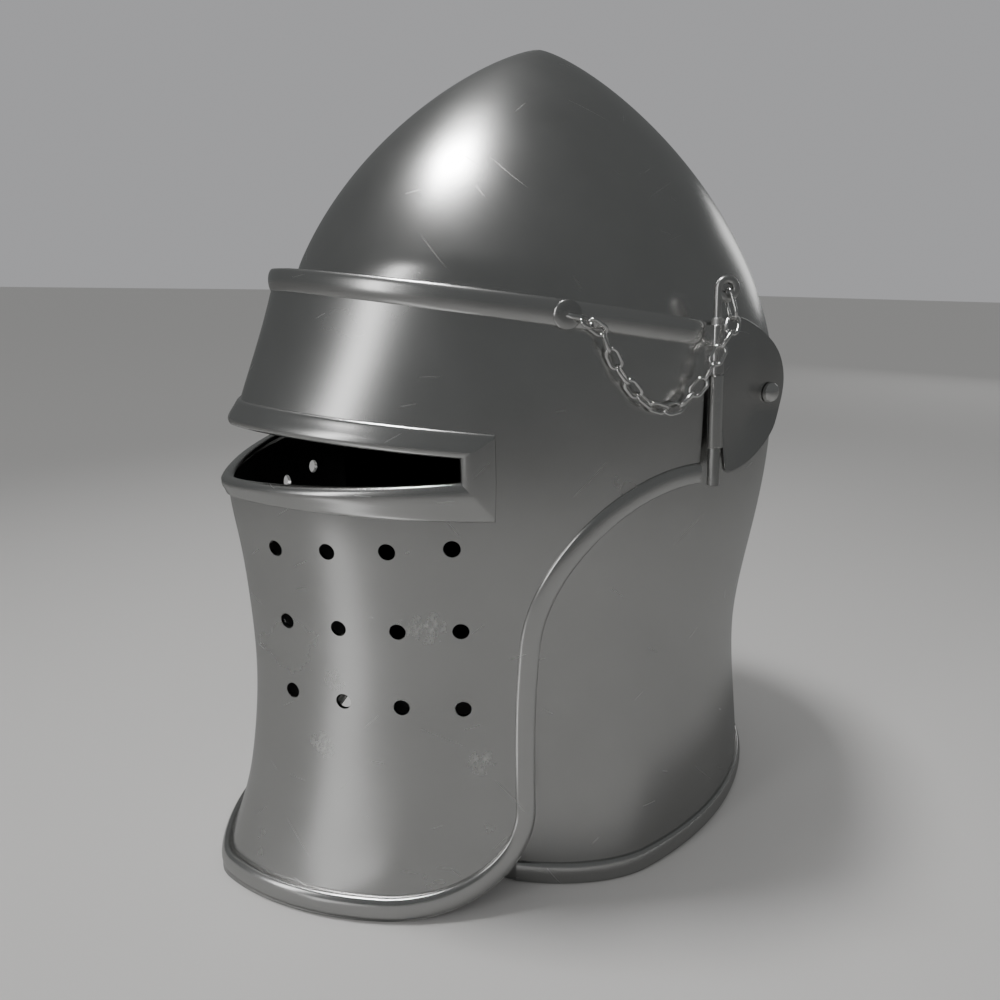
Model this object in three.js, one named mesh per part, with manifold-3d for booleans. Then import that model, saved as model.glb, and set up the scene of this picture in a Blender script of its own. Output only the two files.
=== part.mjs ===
// A great helm with a lifting visor, in millimetres, +Z up.
// The wearer faces -Y, and the wearer's left side is +X.
// The helm stands on its rims at z = 0. Left and right are alike.
import * as THREE from 'three';
import { mergeVertices } from 'three/addons/utils/BufferGeometryUtils.js';
import Module from 'manifold-3d';

const wasm = await Module();
wasm.setup();

// Overall sizes of the skull, the shell that covers the head
const helm_height = 350;
const dome_base = 200;
const skull_half_width = 102.6;
const skull_front_reach = 119;
const skull_back_reach = 124;
const plate = 1.6;
const tip_thickening = 1.5;

// The skull's front is squeezed towards a ridge where the visor lies over it, and round above
const squeezed_front = 1.72;
const squeeze_ends = 238;
const round_starts = 262;

// Overall sizes of the visor, the plate that wraps the face, with its room round the skull
const visor_side_room = 4;
const visor_front_room = 24.5;
const visor_half_width = skull_half_width + visor_side_room;
const visor_front_reach = skull_front_reach + visor_front_room;
const visor_widest_behind = 20;
const visor_ridge_round = 4;
const visor_top_front = 257;
const visor_top_side = 241;
const trim_spare = 9;
const ridge_at_top = 0.82;
const visor_table_height = visor_top_front + trim_spare;

// The raised border along the plates' edges, and how far it stands proud
const border_width = 8;
const border_proud = 1.5;
const border_step = 1;
const weld_depth = 0.8;

// The visor's rear edge: a straight run, a long round corner below it and a hollow quarter above
const cheek_edge_y = -53;
const cheek_corner_reach = 60;
const cheek_corner_height = 47;
const cheek_hollow_top = 181;
const cheek_hollow_height = 62;
const hinge_edge_y = 4.5;

// The eye slit, one opening from cheek to cheek, and the raised frame round it
const slit_front_low = 178;
const slit_front_high = 200;
const slit_end_low = 185;
const slit_end_high = 195;
const slit_end_y = -82;
const frame_low = 171.5;
const frame_band = 8.5;
const frame_end_band = 9.5;

// The breaths, round holes in rows on each side of the ridge
const breath_diameter = 6.5;
const breath_rows = 3;
const breaths_in_row = 4;
const breath_low_row = 91;
const breath_row_pitch = 31.2;
const breath_first = 22.6;
const breath_pitch = 24.4;
const breath_low_slope = 0.024;
const breath_slope_per_row = 0.038;

// The face opening in the skull, hidden by the visor
const face_edge_y = -66;
const face_corner_radius = 13;
const brow_height = 226;
const brow_turn_height = 184;
const brow_turn_y = -84;

// The side arms, which turn on the pivot rivets
const pivot_y = 51;
const pivot_z = 212;
const arm_room = 0.6;
const arm_plate = 1.8;
const arm_middle_z = 214;
const arm_half_height = 29.3;
const arm_tail = 11;
const arm_front_y = 12.9;
const arm_shoulder_y = 17;
const arm_flat_radius = 8;
const arm_splay = 0.3;
const arm_twist = 0.0024;
const arm_tail_flat = 4.6;
const arm_tail_bend = 0.2;
const arm_lean = 0.1;

// The pivot rivets
const rivet_shank_diameter = 4;
const rivet_head_diameter = 8.4;
const rivet_head_height = 3;
const collar_diameter = 9;
const tail_head_diameter = 7.6;
const tail_head_height = 1.8;
const tail_seat_depth = 3.6;
const tail_head_soft = 0.8;

// The hinge between visor and arm: knuckles on a loose pin that leans with the skull's side
const hinge_y = 9;
const hinge_stand_off = 0.4;
const hinge_x = visor_half_width + hinge_stand_off;
const hinge_lean = 0.082;
const knuckle_diameter = 6.4;
const knuckle_split_z = 222;
const knuckle_top_z = 240;
const knuckle_low_z = 195;
const leaf_plate = 1.8;
const pin_diameter = 4.2;
const pin_low_z = 180.5;
const pin_shoulder_z = 242.5;
const pin_neck_diameter = 3.2;
const pin_loop_z = 252.8;
const pin_loop_radius = 3.2;
const pin_loop_turn = 25;

// The chain that keeps the pin, and its anchor on the visor's top border
const anchor_y = -49;
const anchor_disc_diameter = 10;
const anchor_disc_height = 1.4;
const anchor_eye_radius = 2.3;
const anchor_eye_wire = 1.4;
const anchor_eye_back = 6.7;
const anchor_eye_down = 1.85;
const anchor_down = 0.5;
const chain_sag = 36;
const link_wire = 1.1;
const link_width = 4.2;
const link_pitch = 6.5;
const end_link_length = 12.4;
const end_link_width = 5.4;

// The gap between pieces, and how far a bore or a grid runs past what it shapes
const clearance = 0.3;
const bore_spare = 20;
const grid_spare = 2;

// How finely the round shapes are cut
const skull_columns = 36;
const dome_steps = 7;
const visor_columns = 18;
const arm_steps = 14;
const round_sides = 12;
const breath_sides = 8;
const loop_steps = 10;
const eye_steps = 8;
const wire_sides = 5;
const link_end_steps = 3;
const corner_steps = 8;
const hollow_steps = 8;
const face_corner_steps = 5;
const brow_steps = 6;

// How full the dome is from the side, the front and the back, and how pointed it is
const dome_full_side = 1.9;
const dome_full_front = 2.15;
const dome_full_back = 1.85;
const dome_point = 1.3;

// The skull below the dome: height as a share of dome_base, then shares of the half width and reaches
const skull_rows = [
  { up: 0, side: 0.965, front: 0.76, back: 1.09 },
  { up: 0.22, side: 0.925, front: 0.81, back: 1.025 },
  { up: 0.45, side: 0.895, front: 0.87, back: 0.975 },
  { up: 0.68, side: 0.95, front: 0.925, back: 0.985 },
  { up: 0.88, side: 0.998, front: 0.985, back: 1 },
  { up: 1, side: 1, front: 1, back: 1 },
];

// The visor: height as a share of visor_table_height, shares of its reach and half width, and
// how sharp the ridge is as a share of the half width
const visor_rows = [
  { up: 0, front: 1.113, side: 0.955, keel: 0.27 },
  { up: 0.0526, front: 1.07, side: 0.952, keel: 0.28 },
  { up: 0.1434, front: 1.014, side: 0.946, keel: 0.34 },
  { up: 0.225, front: 0.985, side: 0.94, keel: 0.4 },
  { up: 0.3566, front: 0.962, side: 0.936, keel: 0.43 },
  { up: 0.4697, front: 0.967, side: 0.957, keel: 0.44 },
  { up: 0.5711, front: 0.983, side: 0.986, keel: 0.45 },
  { up: 0.6697, front: 1, side: 1, keel: 0.45 },
  { up: 0.7487, front: 0.972, side: 1, keel: 0.4 },
  { up: 0.7974, front: 0.939, side: 0.995, keel: 0.33 },
  { up: 0.9026, front: 0.862, side: 0.978, keel: 0.2 },
  { up: 1, front: 0.805, side: 0.96, keel: 0.16 },
];

// Heights of the meshes, between the rows of the visor's table and over the skull's base
const rows_between = [0.29, 0.415];
const skull_mesh_rows = [0.16, 0.3, 0.45, 0.62, 0.76, 0.89, 1];

// A rivet's domed head from its rim to its top: share of its radius, share of its height
const rivet_dome = [
  { out: 1, up: 0 },
  { out: 0.92, up: 0.42 },
  { out: 0.68, up: 0.77 },
  { out: 0.36, up: 0.95 },
  { out: 0, up: 1 },
];

// The chain's way over the visor: share of the run from anchor to pin, share of the chain's sag,
// and distance off the visor as a share of a link's width
const chain_over_visor = [
  { along: 0.181, fall: 0.18, off: 0.86 },
  { along: 0.224, fall: 0.4, off: 0.77 },
  { along: 0.31, fall: 0.61, off: 0.76 },
  { along: 0.422, fall: 0.82, off: 0.76 },
  { along: 0.552, fall: 0.93, off: 0.76 },
  { along: 0.681, fall: 0.91, off: 0.79 },
  { along: 0.766, fall: 0.785, off: 0.91 },
];

// The rest of its way, over the hinge to the pin's loop: back from the pin, up from the loop's
// middle, and out from the pin
const chain_over_hinge = [
  { back: -9.8, up: -31, out: 4.2 },
  { back: -7.2, up: -25.3, out: 5.6 },
  { back: -4.4, up: -19.8, out: 6.4 },
  { back: -0.4, up: -15.6, out: 6.8 },
];

// Its end in the pin's loop, with back and out turned as the loop is
const chain_in_loop = [
  { back: 4, up: -12.7, out: 5.1 },
  { back: 5.2, up: -9, out: 2.4 },
  { back: 3.3, up: 0.1, out: -0.9 },
];

const steel = new THREE.MeshStandardMaterial({ color: 0xb4b4b2, roughness: 0.28, metalness: 1 });
const arm_steel = new THREE.MeshStandardMaterial({ color: 0xaaaaa9, roughness: 0.32, metalness: 1 });
const pin_steel = new THREE.MeshStandardMaterial({ color: 0x9a9b9c, roughness: 0.5, metalness: 1 });
const chain_steel = new THREE.MeshStandardMaterial({ color: 0xc6c6c4, roughness: 0.18, metalness: 1 });

const quarter_turn = Math.PI / 2;
const x_axis = new THREE.Vector3(1, 0, 0);
const y_axis = new THREE.Vector3(0, 1, 0);
const z_axis = new THREE.Vector3(0, 0, 1);

// Smooth lookups in the tables of sections
function sections(rows, names, height) {
  const places = rows.map((row) => row.up * height);
  const values = rows.flatMap((row) => names.map((name) => row[name]));
  return new THREE.CubicInterpolant(places, values, names.length);
}
const skull_sections = sections(skull_rows, ['side', 'front', 'back'], dome_base);
const visor_sections = sections(visor_rows, ['front', 'side', 'keel'], visor_table_height);

// How far out the arms' inner faces lie at the rivets
const pivot_seat_x = skull_outer_x(pivot_y - arm_flat_radius, pivot_z) + arm_room;

function dome_share(up, fullness) {
  return (1 - up ** fullness) ** (1 / dome_point);
}

// A point of the skull at a height and an angle round from the front, sunk below the outer face
function skull_point(z, angle, sunk) {
  const top = helm_height - tip_thickening * sunk;
  let side = skull_half_width - sunk;
  let front = skull_front_reach - sunk;
  let back = skull_back_reach - sunk;
  if (z > dome_base) {
    const up = Math.min((z - dome_base) / (top - dome_base), 1);
    side *= dome_share(up, dome_full_side);
    front *= dome_share(up, dome_full_front);
    back *= dome_share(up, dome_full_back);
  } else {
    const [side_share, front_share, back_share] = skull_sections.evaluate(z);
    side = skull_half_width * side_share - sunk;
    front = skull_front_reach * front_share - sunk;
    back = skull_back_reach * back_share - sunk;
  }
  const ahead = Math.cos(angle);
  const power = ahead > 0 ? 2 / front_roundness(z) : 1;
  const x = Math.sign(Math.sin(angle)) * side * Math.abs(Math.sin(angle)) ** power;
  const y = ahead > 0 ? -front * ahead ** power : -back * ahead;
  return new THREE.Vector3(x, y, z);
}

// How round the front is seen from above: 2 is an ellipse, less is closer to a ridge
function front_roundness(z) {
  const share = THREE.MathUtils.smoothstep(z, squeeze_ends, round_starts);
  return THREE.MathUtils.lerp(squeezed_front, 2, share);
}

// The outline of the visor at one height: a pointed arch seen from above
function visor_arch(z) {
  const [front_share, side_share, keel_share] = visor_sections.evaluate(z);
  const reach = visor_front_reach * front_share;
  const width = visor_half_width * side_share;
  const soft_width = Math.hypot(width, visor_ridge_round) - visor_ridge_round;
  const keel = keel_share * width;
  const start = Math.asin(keel / (soft_width + keel));
  const depth = (reach + visor_widest_behind) / Math.cos(start);
  return { reach, soft_width, keel, start, depth };
}

// A point of the visor: turn runs from 0 at the ridge to 1 at the widest place
function visor_point(z, turn, proud = 0) {
  const arch = visor_arch(z);
  const angle = arch.start + Math.abs(turn) * (quarter_turn - arch.start);
  const across = (arch.soft_width + arch.keel) * Math.sin(angle) - arch.keel;
  const x = Math.sqrt(Math.max(across * across + 2 * visor_ridge_round * across, 0));
  const y = arch.depth * (Math.cos(arch.start) - Math.cos(angle)) - arch.reach;
  const point = new THREE.Vector3(Math.sign(turn) * x, y, z);
  return proud === 0 ? point : point.addScaledVector(visor_normal(z, turn), proud);
}

function visor_normal(z, turn) {
  const step = 0.01;
  const ahead = visor_point(z, turn + step);
  const behind = visor_point(z, turn - step);
  const along = ahead.sub(behind);
  return new THREE.Vector3(-along.y, along.x, 0).normalize().negate();
}

// The turn at which the visor passes a place along y
function visor_turn(y, z) {
  const arch = visor_arch(z);
  const cosine = Math.cos(arch.start) - (y + arch.reach) / arch.depth;
  const angle = Math.acos(THREE.MathUtils.clamp(cosine, -1, 1));
  return Math.max((angle - arch.start) / (quarter_turn - arch.start), 0);
}

function visor_side(y, z, proud = 0) {
  return visor_point(z, visor_turn(y, z), proud);
}

// The turn at a distance round the visor from its ridge
function visor_turn_at_girth(z, girth) {
  const steps = 200;
  let walked = 0;
  let last = visor_point(z, 0);
  for (let step = 1; step <= steps; step += 1) {
    const next = visor_point(z, step / steps);
    walked += next.distanceTo(last);
    if (walked >= girth) return step / steps;
    last = next;
  }
  return 1;
}

// A closed plate between an outer and an inner grid of points
function plate_shell(outer, inner, wraps) {
  const places = [];
  const add = (a, b, c) => {
    const flat = a.distanceTo(b) < 1e-6 || b.distanceTo(c) < 1e-6 || a.distanceTo(c) < 1e-6;
    if (!flat) places.push(...a.toArray(), ...b.toArray(), ...c.toArray());
  };
  const quad = (a, b, c, d) => {
    add(a, b, c);
    add(a, c, d);
  };
  const columns = outer[0].length;
  const spans = wraps ? columns : columns - 1;
  const last = outer.length - 1;
  for (let column = 0; column < spans; column += 1) {
    const next = (column + 1) % columns;
    for (let row = 0; row < last; row += 1) {
      quad(outer[row][column], outer[row][next], outer[row + 1][next], outer[row + 1][column]);
      quad(inner[row][next], inner[row][column], inner[row + 1][column], inner[row + 1][next]);
    }
    quad(inner[0][column], inner[0][next], outer[0][next], outer[0][column]);
    quad(outer[last][column], outer[last][next], inner[last][next], inner[last][column]);
  }
  if (!wraps) {
    const end = columns - 1;
    for (let row = 0; row < last; row += 1) {
      quad(inner[row][0], outer[row][0], outer[row + 1][0], inner[row + 1][0]);
      quad(outer[row][end], inner[row][end], inner[row + 1][end], outer[row + 1][end]);
    }
  }
  const geometry = new THREE.BufferGeometry();
  geometry.setAttribute('position', new THREE.Float32BufferAttribute(places, 3));
  return geometry;
}

// Closed meshes as solids for cutting and joining, and back again
function solid(geometry) {
  const bare = geometry.clone();
  bare.deleteAttribute('normal');
  bare.deleteAttribute('uv');
  const merged = mergeVertices(bare, 1e-5);
  const mesh = new wasm.Mesh({
    numProp: 3,
    vertProperties: new Float32Array(merged.attributes.position.array),
    triVerts: new Uint32Array(merged.index.array),
  });
  return new wasm.Manifold(mesh);
}

function geometry_of(body) {
  const mesh = body.getMesh();
  const geometry = new THREE.BufferGeometry();
  geometry.setAttribute('position', new THREE.BufferAttribute(mesh.vertProperties, 3));
  geometry.setIndex(new THREE.BufferAttribute(mesh.triVerts, 1));
  return geometry;
}

// A plain block whose outline is drawn from the side, in y and z, right through the helm's width
function side_block(outline) {
  const x_low = -2 * visor_half_width;
  const shape = new THREE.Shape(outline.map(([y, z]) => new THREE.Vector2(y, z)));
  const block = new THREE.ExtrudeGeometry(shape, { depth: -2 * x_low, bevelEnabled: false });
  block.applyMatrix4(new THREE.Matrix4().makeBasis(y_axis, z_axis, x_axis));
  block.translate(x_low, 0, 0);
  return block;
}

// Points of an arc of an ellipse drawn from the side, between two angles in degrees
function side_arc(y, z, reach_y, reach_z, from, to, steps) {
  return Array.from({ length: steps + 1 }, (unused, step) => {
    const angle = THREE.MathUtils.degToRad(from + ((to - from) * step) / steps);
    return [y + reach_y * Math.cos(angle), z + reach_z * Math.sin(angle)];
  });
}

function rod(diameter, from, to, sides = round_sides) {
  const span = to.clone().sub(from);
  const geometry = new THREE.CylinderGeometry(diameter / 2, diameter / 2, span.length(), sides);
  geometry.applyQuaternion(new THREE.Quaternion().setFromUnitVectors(y_axis, span.normalize()));
  const middle = from.clone().add(to).multiplyScalar(0.5);
  return geometry.translate(middle.x, middle.y, middle.z);
}

// The visor's top edge, which falls evenly from the ridge to the hinge
function visor_top(y) {
  const fall = (visor_top_front - visor_top_side) / (hinge_edge_y + visor_front_reach * ridge_at_top);
  return visor_top_side + fall * (hinge_edge_y - y);
}

const far_front = -2 * visor_front_reach;
const far_below = -helm_height / 8;

// The visor's outline from the side, drawn in from its edges by a distance
function visor_outline(inset) {
  const corner_y = cheek_edge_y - cheek_corner_reach;
  const hollow_z = cheek_hollow_top - cheek_hollow_height;
  const corner_reach = cheek_corner_reach - inset;
  const corner_height = cheek_corner_height - inset;
  const hollow_reach = hinge_edge_y - cheek_edge_y + inset;
  const hollow_height = cheek_hollow_height + inset;
  const back = inset === 0 ? hinge_edge_y : hinge_edge_y + border_width;
  return [
    [far_front, inset],
    ...side_arc(corner_y, cheek_corner_height, corner_reach, corner_height, -90, 0, corner_steps),
    ...side_arc(hinge_edge_y, hollow_z, hollow_reach, hollow_height, 180, 90, hollow_steps),
    [back, cheek_hollow_top + inset],
    [back, visor_top(hinge_edge_y) - inset],
    [far_front, visor_top(far_front) - inset],
  ];
}

function slit_edge(y, front, end) {
  const share = (y + visor_front_reach) / (slit_end_y + visor_front_reach);
  return front + (end - front) * share;
}

function slit_outline() {
  return [
    [far_front, slit_edge(far_front, slit_front_low, slit_end_low)],
    [slit_end_y, slit_end_low],
    [slit_end_y, slit_end_high],
    [far_front, slit_edge(far_front, slit_front_high, slit_end_high)],
  ];
}

function frame_outline() {
  const end = slit_end_y + frame_end_band;
  return [
    [far_front, frame_low],
    [end, frame_low],
    [end, slit_edge(end, slit_front_high, slit_end_high) + frame_band],
    [far_front, slit_edge(far_front, slit_front_high, slit_end_high) + frame_band],
  ];
}

// The visor's plate as a grid from cheek to cheek, between two distances off its outer face
function visor_grid(from, to, heights) {
  const layer = (proud) => heights.map((z) => {
    const end = visor_turn(hinge_edge_y + grid_spare, z);
    return Array.from({ length: visor_columns + 1 }, (unused, column) => {
      const turn = (2 * column) / visor_columns - 1;
      return visor_point(z, turn * end, proud);
    });
  });
  return solid(plate_shell(layer(to), layer(from), false));
}

function visor_heights() {
  const from_table = visor_rows.map((row) => row.up);
  const shares = [...from_table, ...rows_between].sort((a, b) => a - b);
  return shares.map((up) => up * visor_table_height);
}

function breath_cutters() {
  const cutters = [];
  for (let row = 0; row < breath_rows; row += 1) {
    for (let place = 0; place < breaths_in_row; place += 1) {
      const girth = breath_first + place * breath_pitch;
      const slope = breath_low_slope + row * breath_slope_per_row;
      const z = breath_low_row + row * breath_row_pitch + slope * (girth - breath_first);
      for (const side of [-1, 1]) {
        const turn = side * visor_turn_at_girth(z, girth);
        const inside = visor_point(z, turn, -3 * plate);
        const outside = visor_point(z, turn, 3 * plate);
        cutters.push(solid(rod(breath_diameter, inside, outside, breath_sides)));
      }
    }
  }
  return cutters;
}

function hinge_axis_x(z) {
  return hinge_x - hinge_lean * (z - pivot_z);
}

function hinge_place(z, side) {
  return new THREE.Vector3(side * hinge_axis_x(z), hinge_y, z);
}

// The visor's own knuckle, with the leaf that joins it to the plate
function visor_knuckle(side) {
  const low = knuckle_split_z + clearance;
  const barrel = rod(knuckle_diameter, hinge_place(low, side), hinge_place(knuckle_top_z, side));
  const leaf_front = hinge_edge_y - border_width;
  const rows = [low, knuckle_top_z].map((z) => {
    const seat = visor_side(leaf_front, z, -plate / 2).x;
    const root = visor_side(hinge_edge_y, z, -plate / 2).x;
    return [[seat, leaf_front], [root, hinge_edge_y], [hinge_axis_x(z), hinge_y]].map(
      ([x, y]) => ({ x: side * x, y, z }),
    );
  });
  const layer = (shift) => rows.map((row) => {
    const line = row.map((spot) => new THREE.Vector3(spot.x + side * shift, spot.y, spot.z));
    return side > 0 ? line : line.reverse();
  });
  const leaf = plate_shell(layer(leaf_plate / 2), layer(-leaf_plate / 2), false);
  return solid(barrel).add(solid(leaf));
}

function pin_bore(side) {
  const low = hinge_place(knuckle_low_z - bore_spare, side);
  const high = hinge_place(knuckle_top_z + bore_spare, side);
  return solid(rod(pin_diameter + 2 * clearance, low, high));
}

function make_visor() {
  const heights = visor_heights();
  const trimmed = solid(side_block(visor_outline(0)));
  const inside_border = solid(side_block(visor_outline(border_width)));
  const frame = solid(side_block(frame_outline()));
  const raised_places = trimmed.subtract(inside_border).add(frame.intersect(trimmed));
  const plain = visor_grid(-plate, 0, heights).intersect(trimmed);
  const hinge_zone = solid(side_block([
    [cheek_edge_y / 4, cheek_hollow_top + border_width / 2],
    [hinge_edge_y + 2 * border_width, cheek_hollow_top + border_width / 2],
    [hinge_edge_y + 2 * border_width, visor_top_side - border_width],
    [cheek_edge_y / 4, visor_top_side - border_width],
  ]));
  const raised = visor_grid(-weld_depth, border_proud, heights)
    .intersect(raised_places)
    .subtract(hinge_zone);
  let visor = plain.add(raised).subtract(solid(side_block(slit_outline())));
  for (const cutter of breath_cutters()) visor = visor.subtract(cutter);
  for (const side of [-1, 1]) visor = visor.add(visor_knuckle(side)).subtract(pin_bore(side));
  return geometry_of(visor);
}

// The block that cuts the face opening out of the skull
function face_block() {
  const round = face_corner_radius;
  const corner_y = face_edge_y + round;
  const corner = side_arc(corner_y, round, round, round, 270, 180, face_corner_steps);
  const brow_reach = face_edge_y - brow_turn_y;
  const brow_rise = brow_height - brow_turn_height;
  const brow = side_arc(brow_turn_y, brow_turn_height, brow_reach, brow_rise, 0, 90, brow_steps);
  const outline = [
    [far_front, far_below],
    [corner_y, far_below],
    ...corner,
    ...brow,
    [far_front, brow_height],
  ];
  return solid(side_block(outline));
}

// Rings of the skull between an outer and an inner face, from the border up into the dome
function skull_rings(sunk, with_border) {
  const ring = (z, depth) => Array.from({ length: skull_columns }, (unused, column) => (
    skull_point(z, (column / skull_columns) * 2 * Math.PI, depth)
  ));
  const border_heights = [0, border_width - border_step, border_width];
  const border = border_heights.map((z) => {
    const proud = with_border && z < border_width ? border_proud : 0;
    return ring(z, sunk - proud);
  });
  const below = skull_mesh_rows.map((up) => ring(up * dome_base, sunk));
  const dome_height = helm_height - tip_thickening * sunk - dome_base;
  const dome = Array.from({ length: dome_steps }, (unused, step) => {
    const up = Math.sin(((step + 1) / dome_steps) * quarter_turn);
    return ring(dome_base + up * dome_height, sunk);
  });
  return [...border, ...below, ...dome];
}

function make_skull() {
  const shell = plate_shell(skull_rings(0, true), skull_rings(plate, false), true);
  let skull = solid(shell).subtract(face_block());
  for (const side of [-1, 1]) skull = skull.subtract(rivet_hole(side));
  return geometry_of(skull);
}

// The round hole that a pivot rivet's shank passes through
function rivet_hole(side) {
  const inside = new THREE.Vector3(side * (pivot_seat_x - bore_spare), pivot_y, pivot_z);
  const outside = new THREE.Vector3(side * (pivot_seat_x + bore_spare), pivot_y, pivot_z);
  return solid(rod(rivet_shank_diameter + 2 * clearance, inside, outside));
}

// How far out the inner face of an arm lies: flat round the rivet, splayed like a cone in front
// and below, leaning in above, and bent in behind
function arm_x(y, z) {
  const ahead = Math.max(pivot_y - y, 0);
  const below = Math.max(pivot_z - z, 0);
  const above = Math.max(z - pivot_z - arm_flat_radius, 0);
  const behind = Math.max(y - pivot_y - arm_tail_flat, 0);
  const reach = Math.max(Math.hypot(ahead, below) - arm_flat_radius, 0);
  const splay = arm_splay + arm_twist * (pivot_z - z);
  return pivot_seat_x + reach * splay - above * arm_lean - behind * arm_tail_bend;
}

// The outline of an arm from the side: a straight front and a round back
function arm_outline() {
  const tail = pivot_y + arm_tail - arm_shoulder_y;
  return [
    [arm_front_y, arm_middle_z - arm_half_height],
    ...side_arc(arm_shoulder_y, arm_middle_z, tail, arm_half_height, -90, 90, arm_steps),
    [arm_front_y, arm_middle_z + arm_half_height],
  ];
}

// The arm's plate as a grid of lines, before its outline is cut
function arm_grid(side) {
  const flat_front = pivot_y - arm_flat_radius;
  const front = arm_front_y - clearance;
  const back = pivot_y + 2 * arm_tail;
  const lines_y = [front, (front + flat_front) / 2, flat_front, pivot_y, pivot_y + arm_tail_flat, back];
  const low = arm_middle_z - arm_half_height - clearance;
  const high = arm_middle_z + arm_half_height + clearance;
  const flat_low = pivot_z - arm_flat_radius;
  const lines_z = [low, (low + flat_low) / 2, flat_low, pivot_z, pivot_z + arm_flat_radius, high];
  const layer = (shift) => lines_z.map((z) => {
    const line = lines_y.map((y) => new THREE.Vector3(side * (arm_x(y, z) + shift), y, z));
    return side > 0 ? line : line.reverse();
  });
  return solid(plate_shell(layer(arm_plate), layer(0), false));
}

// The leaf that joins the arm to its knuckle
function arm_leaf(side) {
  const leaf_back = arm_front_y + border_width / 2;
  const layer = (shift) => [knuckle_low_z, knuckle_split_z].map((z) => {
    const root = new THREE.Vector3(side * (hinge_axis_x(z) + shift), hinge_y, z);
    const seat = arm_x(leaf_back, z) + arm_plate / 2 + shift;
    const line = [root, new THREE.Vector3(side * seat, leaf_back, z)];
    return side > 0 ? line : line.reverse();
  });
  return solid(plate_shell(layer(leaf_plate / 2), layer(-leaf_plate / 2), false));
}

function make_arm(side) {
  const low = hinge_place(knuckle_low_z, side);
  const high = hinge_place(knuckle_split_z, side);
  const arm = arm_grid(side)
    .intersect(solid(side_block(arm_outline())))
    .add(arm_leaf(side))
    .add(solid(rod(knuckle_diameter, low, high)))
    .subtract(pin_bore(side))
    .subtract(rivet_hole(side));
  return geometry_of(arm);
}

// A pivot rivet, turned round its own axis: domed head, shank, collar and the head inside the skull
function make_rivet(side) {
  const skull_out = (away) => skull_outer_x(pivot_y + away, pivot_z);
  const collar_in = skull_out(-collar_diameter / 2) + clearance;
  const tail_out = skull_out(tail_head_diameter / 2) - tail_seat_depth;
  const shank = rivet_shank_diameter / 2;
  const head_in = pivot_seat_x + arm_plate + 2 * clearance;
  const head = rivet_head_diameter / 2;
  const profile = [
    [0, tail_out - tail_head_height],
    [tail_head_diameter / 2 - tail_head_soft, tail_out - tail_head_height],
    [tail_head_diameter / 2, tail_out - tail_head_soft],
    [tail_head_diameter / 2, tail_out],
    [shank, tail_out],
    [shank, collar_in],
    [collar_diameter / 2, collar_in],
    [collar_diameter / 2, pivot_seat_x - clearance],
    [shank, pivot_seat_x - clearance],
    [shank, head_in],
    ...rivet_dome.map(({ out, up }) => [head * out, head_in + rivet_head_height * up]),
  ].map(([radius, along]) => new THREE.Vector2(radius, along));
  const geometry = new THREE.LatheGeometry(profile, round_sides);
  geometry.rotateZ(-side * quarter_turn);
  return geometry.translate(0, pivot_y, pivot_z);
}

function skull_outer_x(y, z) {
  const side = skull_point(z, quarter_turn, 0).x;
  const back = skull_point(z, Math.PI, 0).y;
  return side * Math.sqrt(1 - (y / back) ** 2);
}

// The rings of corners of a round wire bent along a closed line of points
function wire_rings(points, diameter, sides) {
  const count = points.length;
  const sum = points.reduce((total, point) => total.add(point), new THREE.Vector3());
  const middle = sum.divideScalar(count);
  const first = points[0].clone().sub(middle);
  const flat = first.cross(points[1].clone().sub(middle)).normalize();
  return points.map((point, index) => {
    const next = points[(index + 1) % count];
    const before = points[(index + count - 1) % count];
    const out = next.clone().sub(before).cross(flat).normalize();
    return Array.from({ length: sides }, (unused, corner) => {
      const angle = (corner / sides) * 2 * Math.PI;
      return point.clone()
        .addScaledVector(out, (diameter / 2) * Math.cos(angle))
        .addScaledVector(flat, (diameter / 2) * Math.sin(angle));
    });
  });
}

function closed_wire(points, diameter, sides) {
  const rings = wire_rings(points, diameter, sides);
  const places = [];
  rings.forEach((ring, index) => {
    const next_ring = rings[(index + 1) % rings.length];
    for (let corner = 0; corner < sides; corner += 1) {
      const a = ring[corner].toArray();
      const b = ring[(corner + 1) % sides].toArray();
      const c = next_ring[(corner + 1) % sides].toArray();
      const d = next_ring[corner].toArray();
      places.push(...a, ...c, ...b, ...a, ...d, ...c);
    }
  });
  const geometry = new THREE.BufferGeometry();
  geometry.setAttribute('position', new THREE.Float32BufferAttribute(places, 3));
  return geometry;
}

// The line of a link: two straight sides and two round ends, in the plane of two directions
function link_line(middle, along, across, length, width) {
  const points = [];
  const straight = length / 2 - width / 2;
  for (const end of [1, -1]) {
    for (let step = 0; step <= link_end_steps; step += 1) {
      const angle = (step / link_end_steps) * Math.PI - quarter_turn;
      const forward = end * (straight + (width / 2) * Math.cos(angle));
      const aside = end * (width / 2) * Math.sin(angle);
      points.push(middle.clone().addScaledVector(along, forward).addScaledVector(across, aside));
    }
  }
  return points;
}

function circle_line(middle, first, second, radius, steps) {
  return Array.from({ length: steps }, (unused, step) => {
    const angle = (step / steps) * 2 * Math.PI;
    return middle.clone()
      .addScaledVector(first, radius * Math.cos(angle))
      .addScaledVector(second, radius * Math.sin(angle));
  });
}

// The way from the pin to its loop's middle, and from there a place off the pin
function pin_loop_way(side) {
  const angle = THREE.MathUtils.degToRad(pin_loop_turn);
  return new THREE.Vector3(side * Math.sin(angle), Math.cos(angle), 0);
}

function pin_loop_place(side) {
  return hinge_place(pin_loop_z, side).addScaledVector(pin_loop_way(side), pin_loop_radius);
}

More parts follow.
